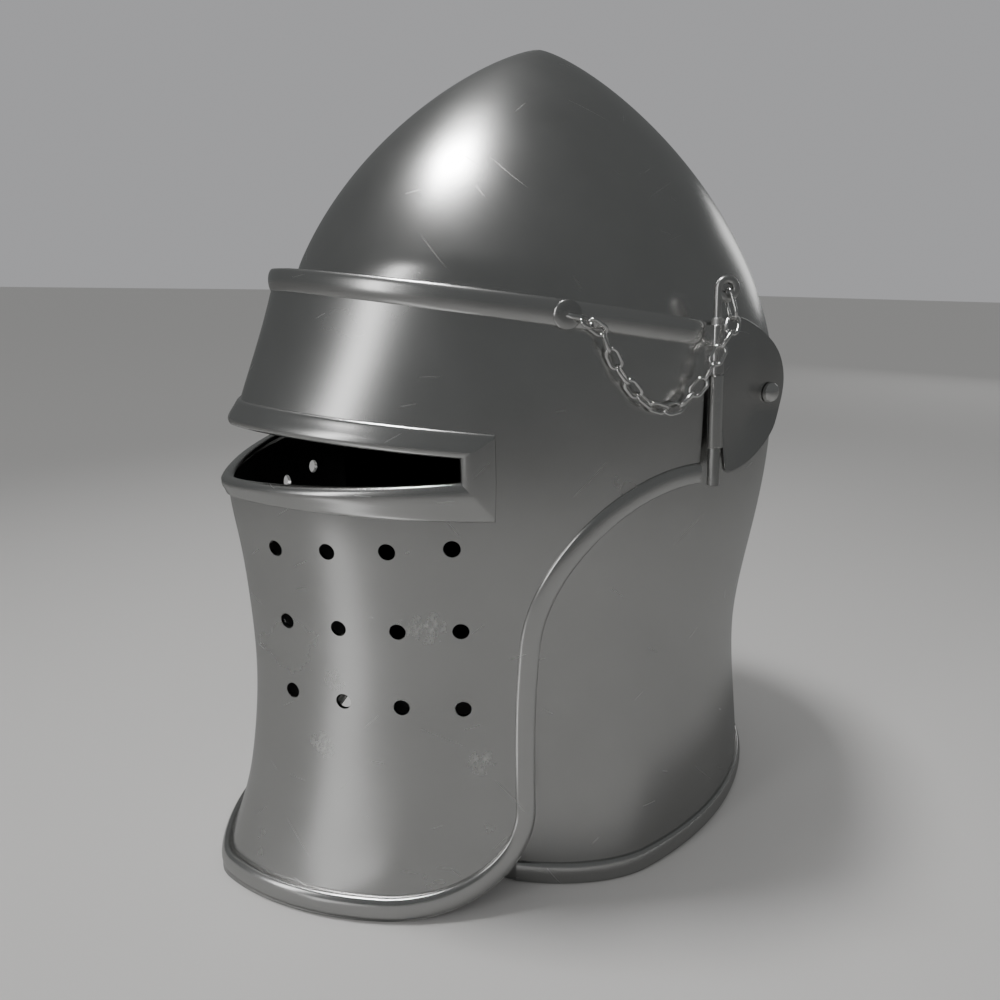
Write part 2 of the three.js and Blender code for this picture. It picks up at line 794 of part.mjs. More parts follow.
// The hinge pin: a rod with a narrower neck bent into a loop
function make_pin(side) {
  const neck_top = hinge_place(pin_loop_z, side);
  const shoulder = hinge_place(pin_shoulder_z, side);
  const body = solid(rod(pin_diameter, hinge_place(pin_low_z, side), shoulder));
  const neck = solid(rod(pin_neck_diameter, hinge_place(pin_shoulder_z - 1, side), neck_top));
  const way = pin_loop_way(side);
  const line = circle_line(pin_loop_place(side), way, z_axis, pin_loop_radius, loop_steps);
  const loop = solid(closed_wire(line, pin_neck_diameter, wire_sides + 1));
  return geometry_of(body.add(neck).add(loop));
}

// The anchor: a flat round rivet head on the top border, with an eye for the first link
function anchor_frame(side) {
  const z = visor_top(anchor_y) - border_width / 2 - anchor_down;
  const turn = side * visor_turn(anchor_y, z);
  const normal = visor_normal(z, turn);
  const seat = visor_point(z, turn, border_proud + clearance);
  const back = new THREE.Vector3(-side * normal.y, side * normal.x, 0);
  return { seat, normal, back };
}

function anchor_eye_place(side) {
  const { seat, normal, back } = anchor_frame(side);
  return seat.clone()
    .addScaledVector(back, anchor_eye_back)
    .addScaledVector(z_axis, -anchor_eye_down)
    .addScaledVector(normal, anchor_disc_height + anchor_eye_wire / 2);
}

function make_anchor(side) {
  const { seat, normal } = anchor_frame(side);
  const front = seat.clone().addScaledVector(normal, anchor_disc_height);
  const disc = solid(rod(anchor_disc_diameter, seat, front));
  const way = chain_curve(side).getTangentAt(0);
  const flat = way.clone().cross(link_roll(side, way, -1)).normalize();
  const across = flat.clone().cross(way).normalize();
  const eye_line = circle_line(anchor_eye_place(side), way, across, anchor_eye_radius, eye_steps);
  const eye = solid(closed_wire(eye_line, anchor_eye_wire, wire_sides));
  const stem_start = front.clone().addScaledVector(normal, -anchor_disc_height / 2);
  const stem_end = anchor_eye_place(side).addScaledVector(way, -anchor_eye_radius);
  const stem = solid(rod(anchor_eye_wire, stem_start, stem_end, wire_sides + 1));
  return geometry_of(disc.add(stem).add(eye));
}

// The chain: links along a hanging curve, each turned a quarter round from the one before
function chain_curve(side) {
  const start_z = visor_top(anchor_y) - border_width / 2;
  const over_visor = chain_over_visor.map(({ along, fall, off }) => {
    const y = anchor_y + along * (hinge_y - anchor_y);
    const z = start_z - fall * chain_sag;
    return new THREE.Vector3(side * (visor_side(y, z).x + off * link_width), y, z);
  });
  const over_hinge = chain_over_hinge.map(({ back, up, out }) => {
    const point = hinge_place(pin_loop_z + up, side);
    return point.add(new THREE.Vector3(side * out, back, 0));
  });
  const way = pin_loop_way(side);
  const through = new THREE.Vector3(side * way.y, -side * way.x, 0);
  const in_loop = chain_in_loop.map(({ back, up, out }) => (
    hinge_place(pin_loop_z + up, side).addScaledVector(way, back).addScaledVector(through, out)
  ));
  const points = [anchor_eye_place(side), ...over_visor, ...over_hinge, ...in_loop];
  return new THREE.CatmullRomCurve3(points, false, 'centripetal');
}

function link_roll(side, along, index) {
  const out = x_axis.clone().multiplyScalar(side);
  const flat_across = along.clone().cross(out).normalize();
  const quarter = side * (index % 2 === 0 ? 1 : -1) * (quarter_turn / 2);
  return flat_across.applyAxisAngle(along, quarter);
}

function make_chain(side) {
  const curve = chain_curve(side);
  curve.arcLengthDivisions = 400;
  const length = curve.getLength();
  const count = Math.round((length - end_link_length) / link_pitch);
  const pitch = (length - end_link_length) / count;
  const links = [];
  for (let index = 0; index <= count; index += 1) {
    const last = index === count;
    const start = index * pitch;
    const size = last ? end_link_length : pitch + link_wire + clearance;
    const near = curve.getPointAt(start / length);
    const far = curve.getPointAt(Math.min((start + size) / length, 1));
    const along = far.clone().sub(near).normalize();
    const middle = near.clone().add(far).multiplyScalar(0.5);
    const across = last ? along.clone().cross(pin_loop_way(side)).normalize() : link_roll(side, along, index);
    const line = link_line(middle, along, across, size, last ? end_link_width : link_width);
    links.push(closed_wire(line, link_wire, wire_sides));
  }
  return links;
}

const helm = new THREE.Group();

function place(name, geometry, material) {
  const mesh = new THREE.Mesh(geometry, material.clone());
  mesh.name = name;
  helm.add(mesh);
}

place('skull', make_skull(), steel);
place('visor', make_visor(), steel);
for (const [side, hand] of [[1, 'left'], [-1, 'right']]) {
  place(`pivot_arm_${hand}`, make_arm(side), arm_steel);
  place(`pivot_rivet_${hand}`, make_rivet(side), arm_steel);
  place(`hinge_pin_${hand}`, make_pin(side), pin_steel);
  place(`chain_anchor_${hand}`, make_anchor(side), steel);
  make_chain(side).forEach((link, index) => {
    const number = String(index + 1).padStart(2, '0');
    place(`chain_link_${hand}_${number}`, link, chain_steel);
  });
}

// The origin is the middle of the base
const box = new THREE.Box3().setFromObject(helm);
helm.position.y = -(box.min.y + box.max.y) / 2;
helm.updateMatrixWorld(true);

export default helm;
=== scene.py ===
# %% [markdown]
# # A great helm in Blender
# The real object is made of steel plate 1.6 mm thick: a pointed skull, and a ridged visor
# that lifts on two side pivots. Loose pins on short chains hold the visor's hinges together.
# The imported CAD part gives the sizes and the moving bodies. Each cell adds one fine piece in its place.

import math

import bmesh
import bpy
import numpy as np
from mathutils import Matrix, Vector


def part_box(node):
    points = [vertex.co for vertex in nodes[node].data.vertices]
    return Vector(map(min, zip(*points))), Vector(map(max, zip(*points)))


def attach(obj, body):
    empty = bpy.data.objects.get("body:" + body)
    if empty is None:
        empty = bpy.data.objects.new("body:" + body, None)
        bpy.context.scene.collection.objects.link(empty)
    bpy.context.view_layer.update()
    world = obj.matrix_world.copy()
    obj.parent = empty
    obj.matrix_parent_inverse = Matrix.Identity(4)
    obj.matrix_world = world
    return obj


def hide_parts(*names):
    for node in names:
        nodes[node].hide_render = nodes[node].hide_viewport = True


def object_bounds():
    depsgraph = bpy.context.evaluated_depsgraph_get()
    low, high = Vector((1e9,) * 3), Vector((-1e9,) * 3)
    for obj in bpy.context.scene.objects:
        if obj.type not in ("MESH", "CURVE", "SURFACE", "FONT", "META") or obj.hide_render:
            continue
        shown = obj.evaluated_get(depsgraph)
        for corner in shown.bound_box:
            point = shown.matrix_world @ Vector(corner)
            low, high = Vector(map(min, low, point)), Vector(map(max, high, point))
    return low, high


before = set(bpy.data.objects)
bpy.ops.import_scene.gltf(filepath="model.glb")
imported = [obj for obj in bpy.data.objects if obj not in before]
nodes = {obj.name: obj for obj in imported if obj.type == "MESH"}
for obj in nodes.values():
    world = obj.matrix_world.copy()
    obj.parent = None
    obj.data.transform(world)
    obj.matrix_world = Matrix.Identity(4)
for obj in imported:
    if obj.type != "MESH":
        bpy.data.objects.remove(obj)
cad_low, cad_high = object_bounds()
print("CAD box, mm:", [round(1000 * (high - low), 1) for low, high in zip(cad_low, cad_high)])

# %% [markdown]
# ## Working in millimetres
# Blender counts in metres, but plate work is easier to read in millimetres. All tables below are in
# millimetres, as shares of named sizes, and each mesh is scaled once, when it is made.
# The helm's widest line is not the middle of its base, so everything is shifted by one number.

# %% Sizes and the shift to the middle of the base
MM = 0.001
HEIGHT = 1000 * cad_high.z
DOME_BASE = 200.0
PLATE = 1.6
SKULL_HALF_WIDTH = 102.6
SKULL_FRONT = 119.0
SKULL_BACK = 124.0
VISOR_HALF_WIDTH = 106.6
VISOR_FRONT = 143.5
VISOR_BEHIND = 20.0
RIDGE_ROUND = 4.0

RIM_FLARE, RIM_PROUD = 1.09, 1.5
back_rim = 1000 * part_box("skull")[1].y
SHIFT = back_rim - (RIM_FLARE * SKULL_BACK + RIM_PROUD)
print("shift of the widest line, mm:", round(SHIFT, 2))


def to_scene(points):
    """Points in millimetres from the widest line, as metres in the part's frame."""
    moved = np.asarray(points, float) + (0, SHIFT, 0)
    return moved * MM


def add_object(name, data):
    """A new object in the scene that carries the data."""
    made = bpy.data.objects.new(name, data)
    bpy.context.scene.collection.objects.link(made)
    return made


# %% [markdown]
# ## The camera
# The photograph was taken close by, from the helm's left front, a little above the eye slit.
# A near camera makes the front look big and the back small, so the place matters as much as the lens.
# The place and turn below were solved from points that can be found both on the helm and in the photo.

# %% Place the camera
CAMERA_PLACE = (300.0, -212.4, 253.36)
CAMERA_ROUND = math.radians(54.71)
CAMERA_YAW = math.radians(-2.09)
CAMERA_PITCH = math.radians(-15.93)
CAMERA_ROLL = math.radians(0.97)
LENS_PER_WIDTH = 0.75974

ahead = Vector((-math.sin(CAMERA_ROUND), math.cos(CAMERA_ROUND), 0))
right = Vector((math.cos(CAMERA_ROUND), math.sin(CAMERA_ROUND), 0))
up = Vector((0, 0, 1))


def turn_pair(a, b, angle):
    """Turns two directions at right angles in their own plane."""
    return math.cos(angle) * a + math.sin(angle) * b, math.cos(angle) * b - math.sin(angle) * a


ahead, right = turn_pair(ahead, right, CAMERA_YAW)
ahead, up = turn_pair(ahead, up, CAMERA_PITCH)
right, up = turn_pair(right, up, CAMERA_ROLL)
camera_data = bpy.data.cameras.new("camera")
camera = add_object("camera", camera_data)
bpy.context.scene.camera = camera
camera_data.sensor_width = 36
camera_data.lens = 36 * LENS_PER_WIDTH
turn = Matrix((right, up, -ahead)).transposed().to_4x4()
camera.matrix_world = Matrix.Translation(to_scene([CAMERA_PLACE])[0]) @ turn
print("lens, mm:", round(camera_data.lens, 2))

# %% [markdown]
# ## Reading a table of sections
# A helmet maker checks the plate against a few templates. The tables hold such templates as rows,
# and a smooth curve through the rows gives every height between. A natural spline keeps the curve
# free of kinks, which polished steel would show at once.


# %% A smooth curve through a table's rows
def smooth_curve(places, values):
    """A natural cubic spline through the rows, as a function of place."""
    x, y = np.asarray(places, float), np.asarray(values, float)
    gap, slope = np.diff(x), np.diff(y) / np.diff(x)
    count = len(x)
    left = np.eye(count)
    right_side = np.zeros(count)
    for row in range(1, count - 1):
        left[row, row - 1 : row + 2] = gap[row - 1], 2 * (gap[row - 1] + gap[row]), gap[row]
        right_side[row] = 6 * (slope[row] - slope[row - 1])
    bend = np.linalg.solve(left, right_side)

    def read(at):
        at = np.clip(at, x[0], x[-1])
        row = np.clip(np.searchsorted(x, at) - 1, 0, count - 2)
        before, after = at - x[row], x[row + 1] - at
        cubic = (bend[row] * after**3 + bend[row + 1] * before**3) / (6 * gap[row])
        start = y[row] / gap[row] - bend[row] * gap[row] / 6
        end = y[row + 1] / gap[row] - bend[row + 1] * gap[row] / 6
        return cubic + start * after + end * before

    return read


def table(rows, names, height):
    """One smooth curve for each named column; the first column is the height as a share."""
    heights = [row[0] * height for row in rows]
    return {name: smooth_curve(heights, [row[i + 1] for row in rows]) for i, name in enumerate(names)}


def ease(share):
    """From 0 to 1 without a kink at either end."""
    return share * share * (3 - 2 * share)


def walked_along(points):
    """How far along a line each of its points lies."""
    return np.concatenate([[0], np.cumsum(np.linalg.norm(np.diff(points, axis=0), axis=1))])


# %% [markdown]
# ## The skull's shape
# The skull is raised from one plate. From above it is a long ellipse, squeezed in front where the
# visor lies over it. Its waist is at the neck, and the dome runs up to a soft point.

# %% The skull's sections and dome
SKULL_ROWS = [
    (0, 0.965, 0.76, RIM_FLARE),
    (0.22, 0.925, 0.81, 1.025),
    (0.45, 0.895, 0.87, 0.975),
    (0.68, 0.95, 0.925, 0.985),
    (0.88, 0.998, 0.985, 1),
    (1, 1, 1, 1),
]
skull_table = table(SKULL_ROWS, ["side", "front", "back"], DOME_BASE)
DOME_FULL = {"side": 1.9, "front": 2.15, "back": 1.85}
DOME_POINT = 1.3
POINT_DROP = 1.5
SQUEEZED = 1.72
SQUEEZE_ENDS, ROUND_STARTS = 238.0, 262.0


def skull_point(z, angle, sunk=0.0):
    """A point of the skull at a height and an angle from the front."""
    reach = {"side": SKULL_HALF_WIDTH, "front": SKULL_FRONT, "back": SKULL_BACK}
    up = np.clip((z - DOME_BASE) / (HEIGHT - POINT_DROP * sunk - DOME_BASE), 0, 1)
    for name in reach:
        dome = (reach[name] - sunk) * (1 - up ** DOME_FULL[name]) ** (1 / DOME_POINT)
        low = reach[name] * skull_table[name](np.minimum(z, DOME_BASE)) - sunk
        reach[name] = np.where(z > DOME_BASE, dome, low)
    share = np.clip((z - SQUEEZE_ENDS) / (ROUND_STARTS - SQUEEZE_ENDS), 0, 1)
    roundness = SQUEEZED + (2 - SQUEEZED) * ease(share)
    front = np.cos(angle) > 0
    power = np.where(front, 2 / roundness, 1.0)
    x = np.sign(np.sin(angle)) * reach["side"] * np.abs(np.sin(angle)) ** power
    along = np.abs(np.cos(angle)) ** power
    y = np.where(front, -reach["front"] * along, reach["back"] * along)
    return np.stack([x, y, np.broadcast_to(z, x.shape)], -1)


WAIST_Z = 90.0
print("skull half width at the waist, mm:", round(float(skull_point(WAIST_Z, math.pi / 2)[0]), 1))

# %% [markdown]
# ## The visor's shape
# The visor is bent round a ridge, so from above it is a pointed arch. The table says at each height
# how far the ridge reaches, how wide the arch is, and how sharp the ridge is.

# %% The visor's sections
VISOR_ROWS = [
    (0, 1.113, 0.955, 0.27),
    (0.0526, 1.07, 0.952, 0.28),
    (0.1434, 1.014, 0.946, 0.34),
    (0.225, 0.985, 0.94, 0.4),
    (0.3566, 0.962, 0.936, 0.43),
    (0.4697, 0.967, 0.957, 0.44),
    (0.5711, 0.983, 0.986, 0.45),
    (0.6697, 1, 1, 0.45),
    (0.7487, 0.972, 1, 0.4),
    (0.7974, 0.939, 0.995, 0.33),
    (0.9026, 0.862, 0.978, 0.2),
    (1, 0.805, 0.96, 0.16),
]
VISOR_TABLE_HEIGHT = 266.0
visor_table = table(VISOR_ROWS, ["front", "side", "keel"], VISOR_TABLE_HEIGHT)


def visor_arch(z):
    reach = VISOR_FRONT * visor_table["front"](z)
    width = VISOR_HALF_WIDTH * visor_table["side"](z)
    soft = np.hypot(width, RIDGE_ROUND) - RIDGE_ROUND
    keel = visor_table["keel"](z) * width
    start = np.arcsin(keel / (soft + keel))
    return reach, soft, keel, start, (reach + VISOR_BEHIND) / np.cos(start)


def visor_point(z, turn):
    """A point of the visor: turn is 0 at the ridge and 1 or -1 at the widest place."""
    reach, soft, keel, start, depth = visor_arch(z)
    angle = start + np.abs(turn) * (math.pi / 2 - start)
    across = (soft + keel) * np.sin(angle) - keel
    x = np.sqrt(np.maximum(across * across + 2 * RIDGE_ROUND * across, 0))
    y = depth * (np.cos(start) - np.cos(angle)) - reach
    return np.stack([np.sign(turn) * x, y, np.broadcast_to(z, x.shape)], -1)


def visor_turn(y, z):
    """The turn at which the visor passes a place along y."""
    reach, soft, keel, start, depth = visor_arch(z)
    angle = np.arccos(np.clip(np.cos(start) - (y + reach) / depth, -1, 1))
    return np.maximum((angle - start) / (math.pi / 2 - start), 0)


TURN_STEP = 0.004


def visor_normal(z, turn):
    """The level direction straight out of the visor."""
    along = visor_point(z, turn + TURN_STEP) - visor_point(z, turn - TURN_STEP)
    out = np.stack([along[..., 1], -along[..., 0], 0 * along[..., 0]], -1)
    return out / np.linalg.norm(out, axis=-1, keepdims=True)


# %% [markdown]
# ## Plates as closed meshes
# A plate has an outer and an inner face. Both are grids of points from the same function, joined
# round the edge, so the mesh is closed and the real thickness shows at every cut.


# %% Make a closed plate from two grids
def mesh_object(name, points, faces):
    """A mesh with doubled points merged and its faces turned outwards."""
    mesh = bpy.data.meshes.new(name)
    mesh.from_pydata([tuple(p) for p in to_scene(points)], [], faces)
    made = add_object(name, mesh)
    shape = bmesh.new()
    shape.from_mesh(mesh)
    bmesh.ops.remove_doubles(shape, verts=shape.verts, dist=1e-7)
    bmesh.ops.recalc_face_normals(shape, faces=shape.faces)
    shape.to_mesh(mesh)
    shape.free()
    return made


def quads(rows, columns, ring=False, wraps=True):
    """Faces between rows of points; ring joins the last row to the first, and wraps the columns."""
    faces = []
    for row in range(rows if ring else rows - 1):
        below, above = row * columns, (row + 1) % rows * columns
        for i in range(columns if wraps else columns - 1):
            after = (i + 1) % columns
            faces.append((below + i, below + after, above + after, above + i))
    return faces


def plate_object(name, outer, inner, wraps):
    """outer and inner hold rows of points, low to high; wraps joins the last column to the first."""
    rows, columns = outer.shape[:2]
    faces = quads(2 * rows, columns, ring=True, wraps=wraps)
    if not wraps:
        for row in range(rows - 1):
            a, b = row * columns, (2 * rows - 1 - row) * columns
            c, d = a + columns - 1, b + columns - 1
            faces += [(b, a, a + columns, b - columns), (c, d, d - columns, c + columns)]
    points = np.concatenate([outer, inner[::-1]]).reshape(-1, 3)
    return mesh_object(name, points, faces)


def apply_modifiers(made):
    """Keeps what an object's modifiers make as its own mesh."""
    view = bpy.context.evaluated_depsgraph_get()
    made.data = bpy.data.meshes.new_from_object(made.evaluated_get(view))
    made.modifiers.clear()


def prism(name, outline):
    """A block whose outline is drawn from the side, in y and z, through the whole width."""
    far = 2 * VISOR_HALF_WIDTH
    points = [(-far, y, z) for y, z in outline] + [(far, y, z) for y, z in outline]
    count = len(outline)
    faces = [tuple(range(count)), tuple(range(2 * count - 1, count - 1, -1))]
    faces += [(i, (i + 1) % count, count + (i + 1) % count, count + i) for i in range(count)]
    return mesh_object(name, points, faces)


def cut(target, tool, operation="DIFFERENCE"):
    """Cuts with a closed tool and deletes it."""
    modifier = target.modifiers.new("cut", "BOOLEAN")
    modifier.operation = operation
    modifier.solver = "EXACT"
    modifier.object = tool
    apply_modifiers(target)
    bpy.data.objects.remove(tool)


LOOKS_IN = -0.3


def paint_plate(made, outside, inside):
    """The outside's steel on a plate, and the dark unpolished steel on the faces that look inwards."""
    made.data.materials.clear()
    made.data.materials.append(outside)
    made.data.materials.append(inside)
    for face in made.data.polygons:
        away = Vector((face.center.x, face.center.y, max(face.center.z - DOME_BASE * MM, 0)))
        face.material_index = int(face.normal.dot(away) / max(away.length, MM) < LOOKS_IN)


def smooth(made, degrees=32):
    """Smooth shading, but sharp at the plate's cut edges."""
    made.data.shade_smooth()
    made.data.set_sharp_from_angle(angle=math.radians(degrees))


# %% [markdown]
# ## Edge lines drawn from the side
# The real visor was cut along lines that are simple from the side: a falling top, a hollow
# quarter under the hinge, a straight cheek and a long round corner. Each is a short function.

# %% The visor's outline and the slit
CHEEK_Y = -53.0
CORNER_REACH, CORNER_HEIGHT = 60.0, 47.0
HOLLOW_TOP, HOLLOW_HEIGHT = 181.0, 62.0
HINGE_EDGE_Y = 4.5
TOP_FRONT, TOP_SIDE = 257.0, 241.0
SLIT_FRONT = (178.0, 200.0)
SLIT_END = (185.0, 195.0)
SLIT_END_Y = -82.0
FAR = -2 * VISOR_FRONT
CORNER_STEPS = 40


def arc(y, z, reach_y, reach_z, start, end, steps):
    angles = np.radians(np.linspace(start, end, steps + 1))
    return [(y + reach_y * math.cos(a), z + reach_z * math.sin(a)) for a in angles]


def top_edge(y):
    fall = (TOP_FRONT - TOP_SIDE) / (HINGE_EDGE_Y + 0.82 * VISOR_FRONT)
    return TOP_SIDE + fall * (HINGE_EDGE_Y - y)


def rear_edge(inset=0.0):
    """From the bottom's straight part, round the corner, up the cheek and round the hollow."""
    corner_y = CHEEK_Y - CORNER_REACH
    reach, high = CORNER_REACH - inset, CORNER_HEIGHT - inset
    corner = arc(corner_y, CORNER_HEIGHT, reach, high, -90, 0, CORNER_STEPS)
    hollow_z = HOLLOW_TOP - HOLLOW_HEIGHT
    reach = HINGE_EDGE_Y - CHEEK_Y + inset
    hollow = arc(HINGE_EDGE_Y, hollow_z, reach, HOLLOW_HEIGHT + inset, 180, 90, CORNER_STEPS)
    return corner + hollow


def slit_edge(y, which):
    share = (y + VISOR_FRONT) / (SLIT_END_Y + VISOR_FRONT)
    return SLIT_FRONT[which] + (SLIT_END[which] - SLIT_FRONT[which]) * share


# %% [markdown]
# ## Steel
# Bright steel is metal all over, so its look comes from what it mirrors and how sharply.
# Brushing blurs the mirror, rubbing leaves duller patches, and fine scratches catch the light.
# One shared node group makes these marks from the object's own coordinates; each piece sets its own
# shade and gloss.

# %% A node group for worn bright steel


def fill(node, inputs):
    """Gives each of a node's inputs a number or another node's output."""
    for key, value in inputs.items():
        if isinstance(value, bpy.types.NodeSocket):
            node.id_data.links.new(value, node.inputs[key])
        else:
            node.inputs[key].default_value = value


def add_node(tree, kind, inputs=None, **values):
    node = tree.nodes.new(kind)
    for key, value in values.items():
        setattr(node, key, value)
    fill(node, inputs or {})
    return node


def open_group(name, kind, inputs, outputs):
    """A node group with sockets of the given types, and what its input node gives."""
    tree = bpy.data.node_groups.new(name, kind)
    for way, sockets in (("INPUT", inputs), ("OUTPUT", outputs)):
        for key, value in sockets.items():
            tree.interface.new_socket(key, in_out=way, socket_type="NodeSocket" + value)
    return tree, add_node(tree, "NodeGroupInput").outputs


RUB_PLACES = [
    ((66.4, -90.8, 127.7), 7.5),
    ((60, -98, 127), 4),
    ((77.0, -72.9, 69.2), 6),
    ((33.8, -123.3, 70.2), 6),
    ((38.1, -118.1, 100.5), 5),
]


def wear_group():
    numbers = dict.fromkeys(("Shade", "Roughness", "Marks", "Grain", "Rub"), "Float")
    results = {"Color": "Color", "Roughness": "Float", "Height": "Float"}
    tree, given = open_group("steel_wear", "ShaderNodeTree", numbers, results)
    place = add_node(tree, "ShaderNodeTexCoord").outputs["Object"]

    def calculate(operation, a, b):
        return add_node(tree, "ShaderNodeMath", {0: a, 1: b}, operation=operation).outputs[0]

    def times(a, b):
        return calculate("MULTIPLY", a, b)

    def blend(start, *parts):
        """The start, and each part added by its strength."""
        for value, strength in parts:
            start = calculate("ADD", start, times(value, strength))
        return start

    def vector(operation, result, *inputs):
        node = add_node(tree, "ShaderNodeVectorMath", dict(enumerate(inputs)), operation=operation)
        return node.outputs[result]

    def noise(scale, detail, stretch=(1, 1, 1), roughness=0.5):
        mapping = add_node(tree, "ShaderNodeMapping", {"Vector": place, "Scale": stretch})
        values = {"Vector": mapping.outputs[0], "Scale": scale, "Detail": detail, "Roughness": roughness}
        return add_node(tree, "ShaderNodeTexNoise", values).outputs[0]

    def spread(value, low, high, to_low=1.0, to_high=0.0):
        values = {"Value": value, "From Min": low, "From Max": high, "To Min": to_low, "To Max": to_high}
        return add_node(tree, "ShaderNodeMapRange", values, clamp=True).outputs[0]

    def scratches(scale, length, thin, share):
        """Each cell of a Voronoi pattern may hold one thin flat slab, which the surface cuts as a line."""
        cells = add_node(tree, "ShaderNodeTexVoronoi", {"Vector": place, "Scale": scale}, feature="F1")
        local = vector("SUBTRACT", "Vector", place, cells.outputs["Position"])
        way = vector("SUBTRACT", "Vector", cells.outputs["Color"], (0.5, 0.5, 0.5))
        way = vector("NORMALIZE", "Vector", way)
        off = calculate("ABSOLUTE", vector("DOT_PRODUCT", "Value", local, way), 0)
        line = spread(off, 0.3 * thin, thin)
        near = spread(vector("LENGTH", "Value", local), 0.5 * length, length)
        chance = add_node(tree, "ShaderNodeSeparateColor", {0: cells.outputs["Color"]})
        return times(times(line, near), calculate("LESS_THAN", chance.outputs[2], share))

    def rub_marks():
        """Pale scuffs at the places where the real visor has them."""
        total = 0.0
        for middle, reach in RUB_PLACES:
            away = vector("DISTANCE", "Value", place, to_scene([middle])[0])
            total = calculate("MAXIMUM", spread(away, 0.25 * reach * MM, reach * MM), total)
        speckle = noise(scale=420, detail=4, stretch=(1, 1, 0.7), roughness=0.65)
        flecks = spread(speckle, 0.5, 0.62, to_low=0.0, to_high=1.0)
        return times(times(total, flecks), given["Rub"])

    patches = noise(scale=14, detail=3)
    clouds = noise(scale=38, detail=4, roughness=0.6)
    brushed = noise(scale=700, detail=1, stretch=(1, 1, 0.3))
    long_hairs = scratches(scale=38, length=0.01, thin=0.00013, share=0.16)
    short_hairs = scratches(scale=95, length=0.004, thin=0.00012, share=0.14)
    hairs = calculate("MAXIMUM", long_hairs, short_hairs)
    grain = times(calculate("SUBTRACT", brushed, 0.5), given["Grain"])
    rubbed = rub_marks()

    dull = (blend(patches, (clouds, 0.6)), 0.055)
    cut_hairs = (hairs, times(given["Marks"], 0.12))
    gloss = blend(given["Roughness"], dull, (grain, 0.02), cut_hairs, (rubbed, 0.22))
    uneven = (calculate("SUBTRACT", clouds, 0.5), 0.08)
    shade = blend(given["Shade"], uneven, (hairs, 0.1), (rubbed, 0.24))
    color = {0: shade, 1: times(shade, 0.995), 2: times(shade, 0.98)}
    waves = times(noise(scale=26, detail=1), 5.0)
    height = calculate("SUBTRACT", waves, times(hairs, times(given["Marks"], 0.6)))
    color = add_node(tree, "ShaderNodeCombineColor", color).outputs[0]
    add_node(tree, "NodeGroupOutput", {"Color": color, "Roughness": gloss, "Height": height})
    return tree


WEAR = wear_group()
print("wear group nodes:", len(WEAR.nodes))


# %% Materials that use the group
BUMP_HEIGHT = 0.3 * MM


def steel(name, shade, roughness, marks=1.0, grain=1.0, bump=0.05, rub=0.0):
    made = bpy.data.materials.new(name)
    made.use_nodes = True
    tree = made.node_tree
    worn = {"Shade": shade, "Roughness": roughness, "Marks": marks, "Grain": grain, "Rub": rub}
    wear = add_node(tree, "ShaderNodeGroup", worn, node_tree=WEAR)
    relief = {"Strength": bump, "Distance": BUMP_HEIGHT, "Height": wear.outputs["Height"]}
    relief = add_node(tree, "ShaderNodeBump", relief).outputs[0]
    look = {"Base Color": wear.outputs["Color"], "Roughness": wear.outputs["Roughness"]}
    fill(tree.nodes["Principled BSDF"], look | {"Metallic": 1.0, "Normal": relief})
    return made


SKULL_STEEL = steel("skull_steel", 0.56, 0.21, grain=0.0)
VISOR_STEEL = steel("visor_steel", 0.58, 0.22, grain=0.0, rub=1.0)
INSIDE_STEEL = steel("inside_steel", 0.1, 0.55, marks=0.3)
BORDER_STEEL = steel("border_steel", 0.62, 0.2, marks=0.8, grain=1.2)
ARM_STEEL = steel("arm_steel", 0.5, 0.2, marks=0.5)
KNUCKLE_STEEL = steel("knuckle_steel", 0.7, 0.1, marks=0.3, grain=0.4)
PIN_STEEL = steel("pin_steel", 0.5, 0.38, marks=0.2, grain=1.6, bump=0.1)
LOOP_STEEL = steel("loop_steel", 0.58, 0.24, marks=0.4, grain=0.8)
CHAIN_STEEL = steel("chain_steel", 0.78, 0.09, marks=0.2, grain=0.2)

# %% [markdown]
# ## The skull
# A lathe would give a round cap, but this skull is an ellipse with a squeezed front, so a grid of
# points follows its own function. The face is then cut out, as it was from the real plate.

# %% Build the skull
SKULL_COLUMNS = 220
low_heights = np.linspace(0, DOME_BASE, 60)
dome_heights = DOME_BASE + (HEIGHT - DOME_BASE) * np.sin(np.linspace(0, math.pi / 2, 90)[1:])
heights = np.concatenate([low_heights, dome_heights])
angles = np.linspace(0, 2 * math.pi, SKULL_COLUMNS, endpoint=False)
grid_z, grid_a = np.meshgrid(heights, angles, indexing="ij")
in_dome = (grid_z - DOME_BASE) * (HEIGHT - POINT_DROP * PLATE - DOME_BASE) / (HEIGHT - DOME_BASE)
inner_z = np.where(grid_z > DOME_BASE, DOME_BASE + in_dome, grid_z)
skull = plate_object("skull_shell", skull_point(grid_z, grid_a), skull_point(inner_z, grid_a, PLATE), True)

FACE_Y, FACE_ROUND = -66.0, 13.0
BROW_Y, BROW_Z, BROW_TOP = -84.0, 184.0, 226.0
face_outline = [(FAR, -40), (FACE_Y + FACE_ROUND, -40)]
face_outline += arc(FACE_Y + FACE_ROUND, FACE_ROUND, FACE_ROUND, FACE_ROUND, 270, 180, 8)
face_outline += arc(BROW_Y, BROW_Z, FACE_Y - BROW_Y, BROW_TOP - BROW_Z, 0, 90, 12)
face_outline += [(FAR, BROW_TOP)]
cut(skull, prism("face_cut", face_outline))
smooth(skull)
paint_plate(skull, SKULL_STEEL, INSIDE_STEEL)
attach(skull, "skull")
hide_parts("skull")
print("skull faces:", len(skull.data.polygons))

# %% [markdown]
# ## The visor plate
# The same way of building works for the visor. Its outline, the slit and the breaths are cut
# through the closed plate, so every hole shows the plate's thickness.

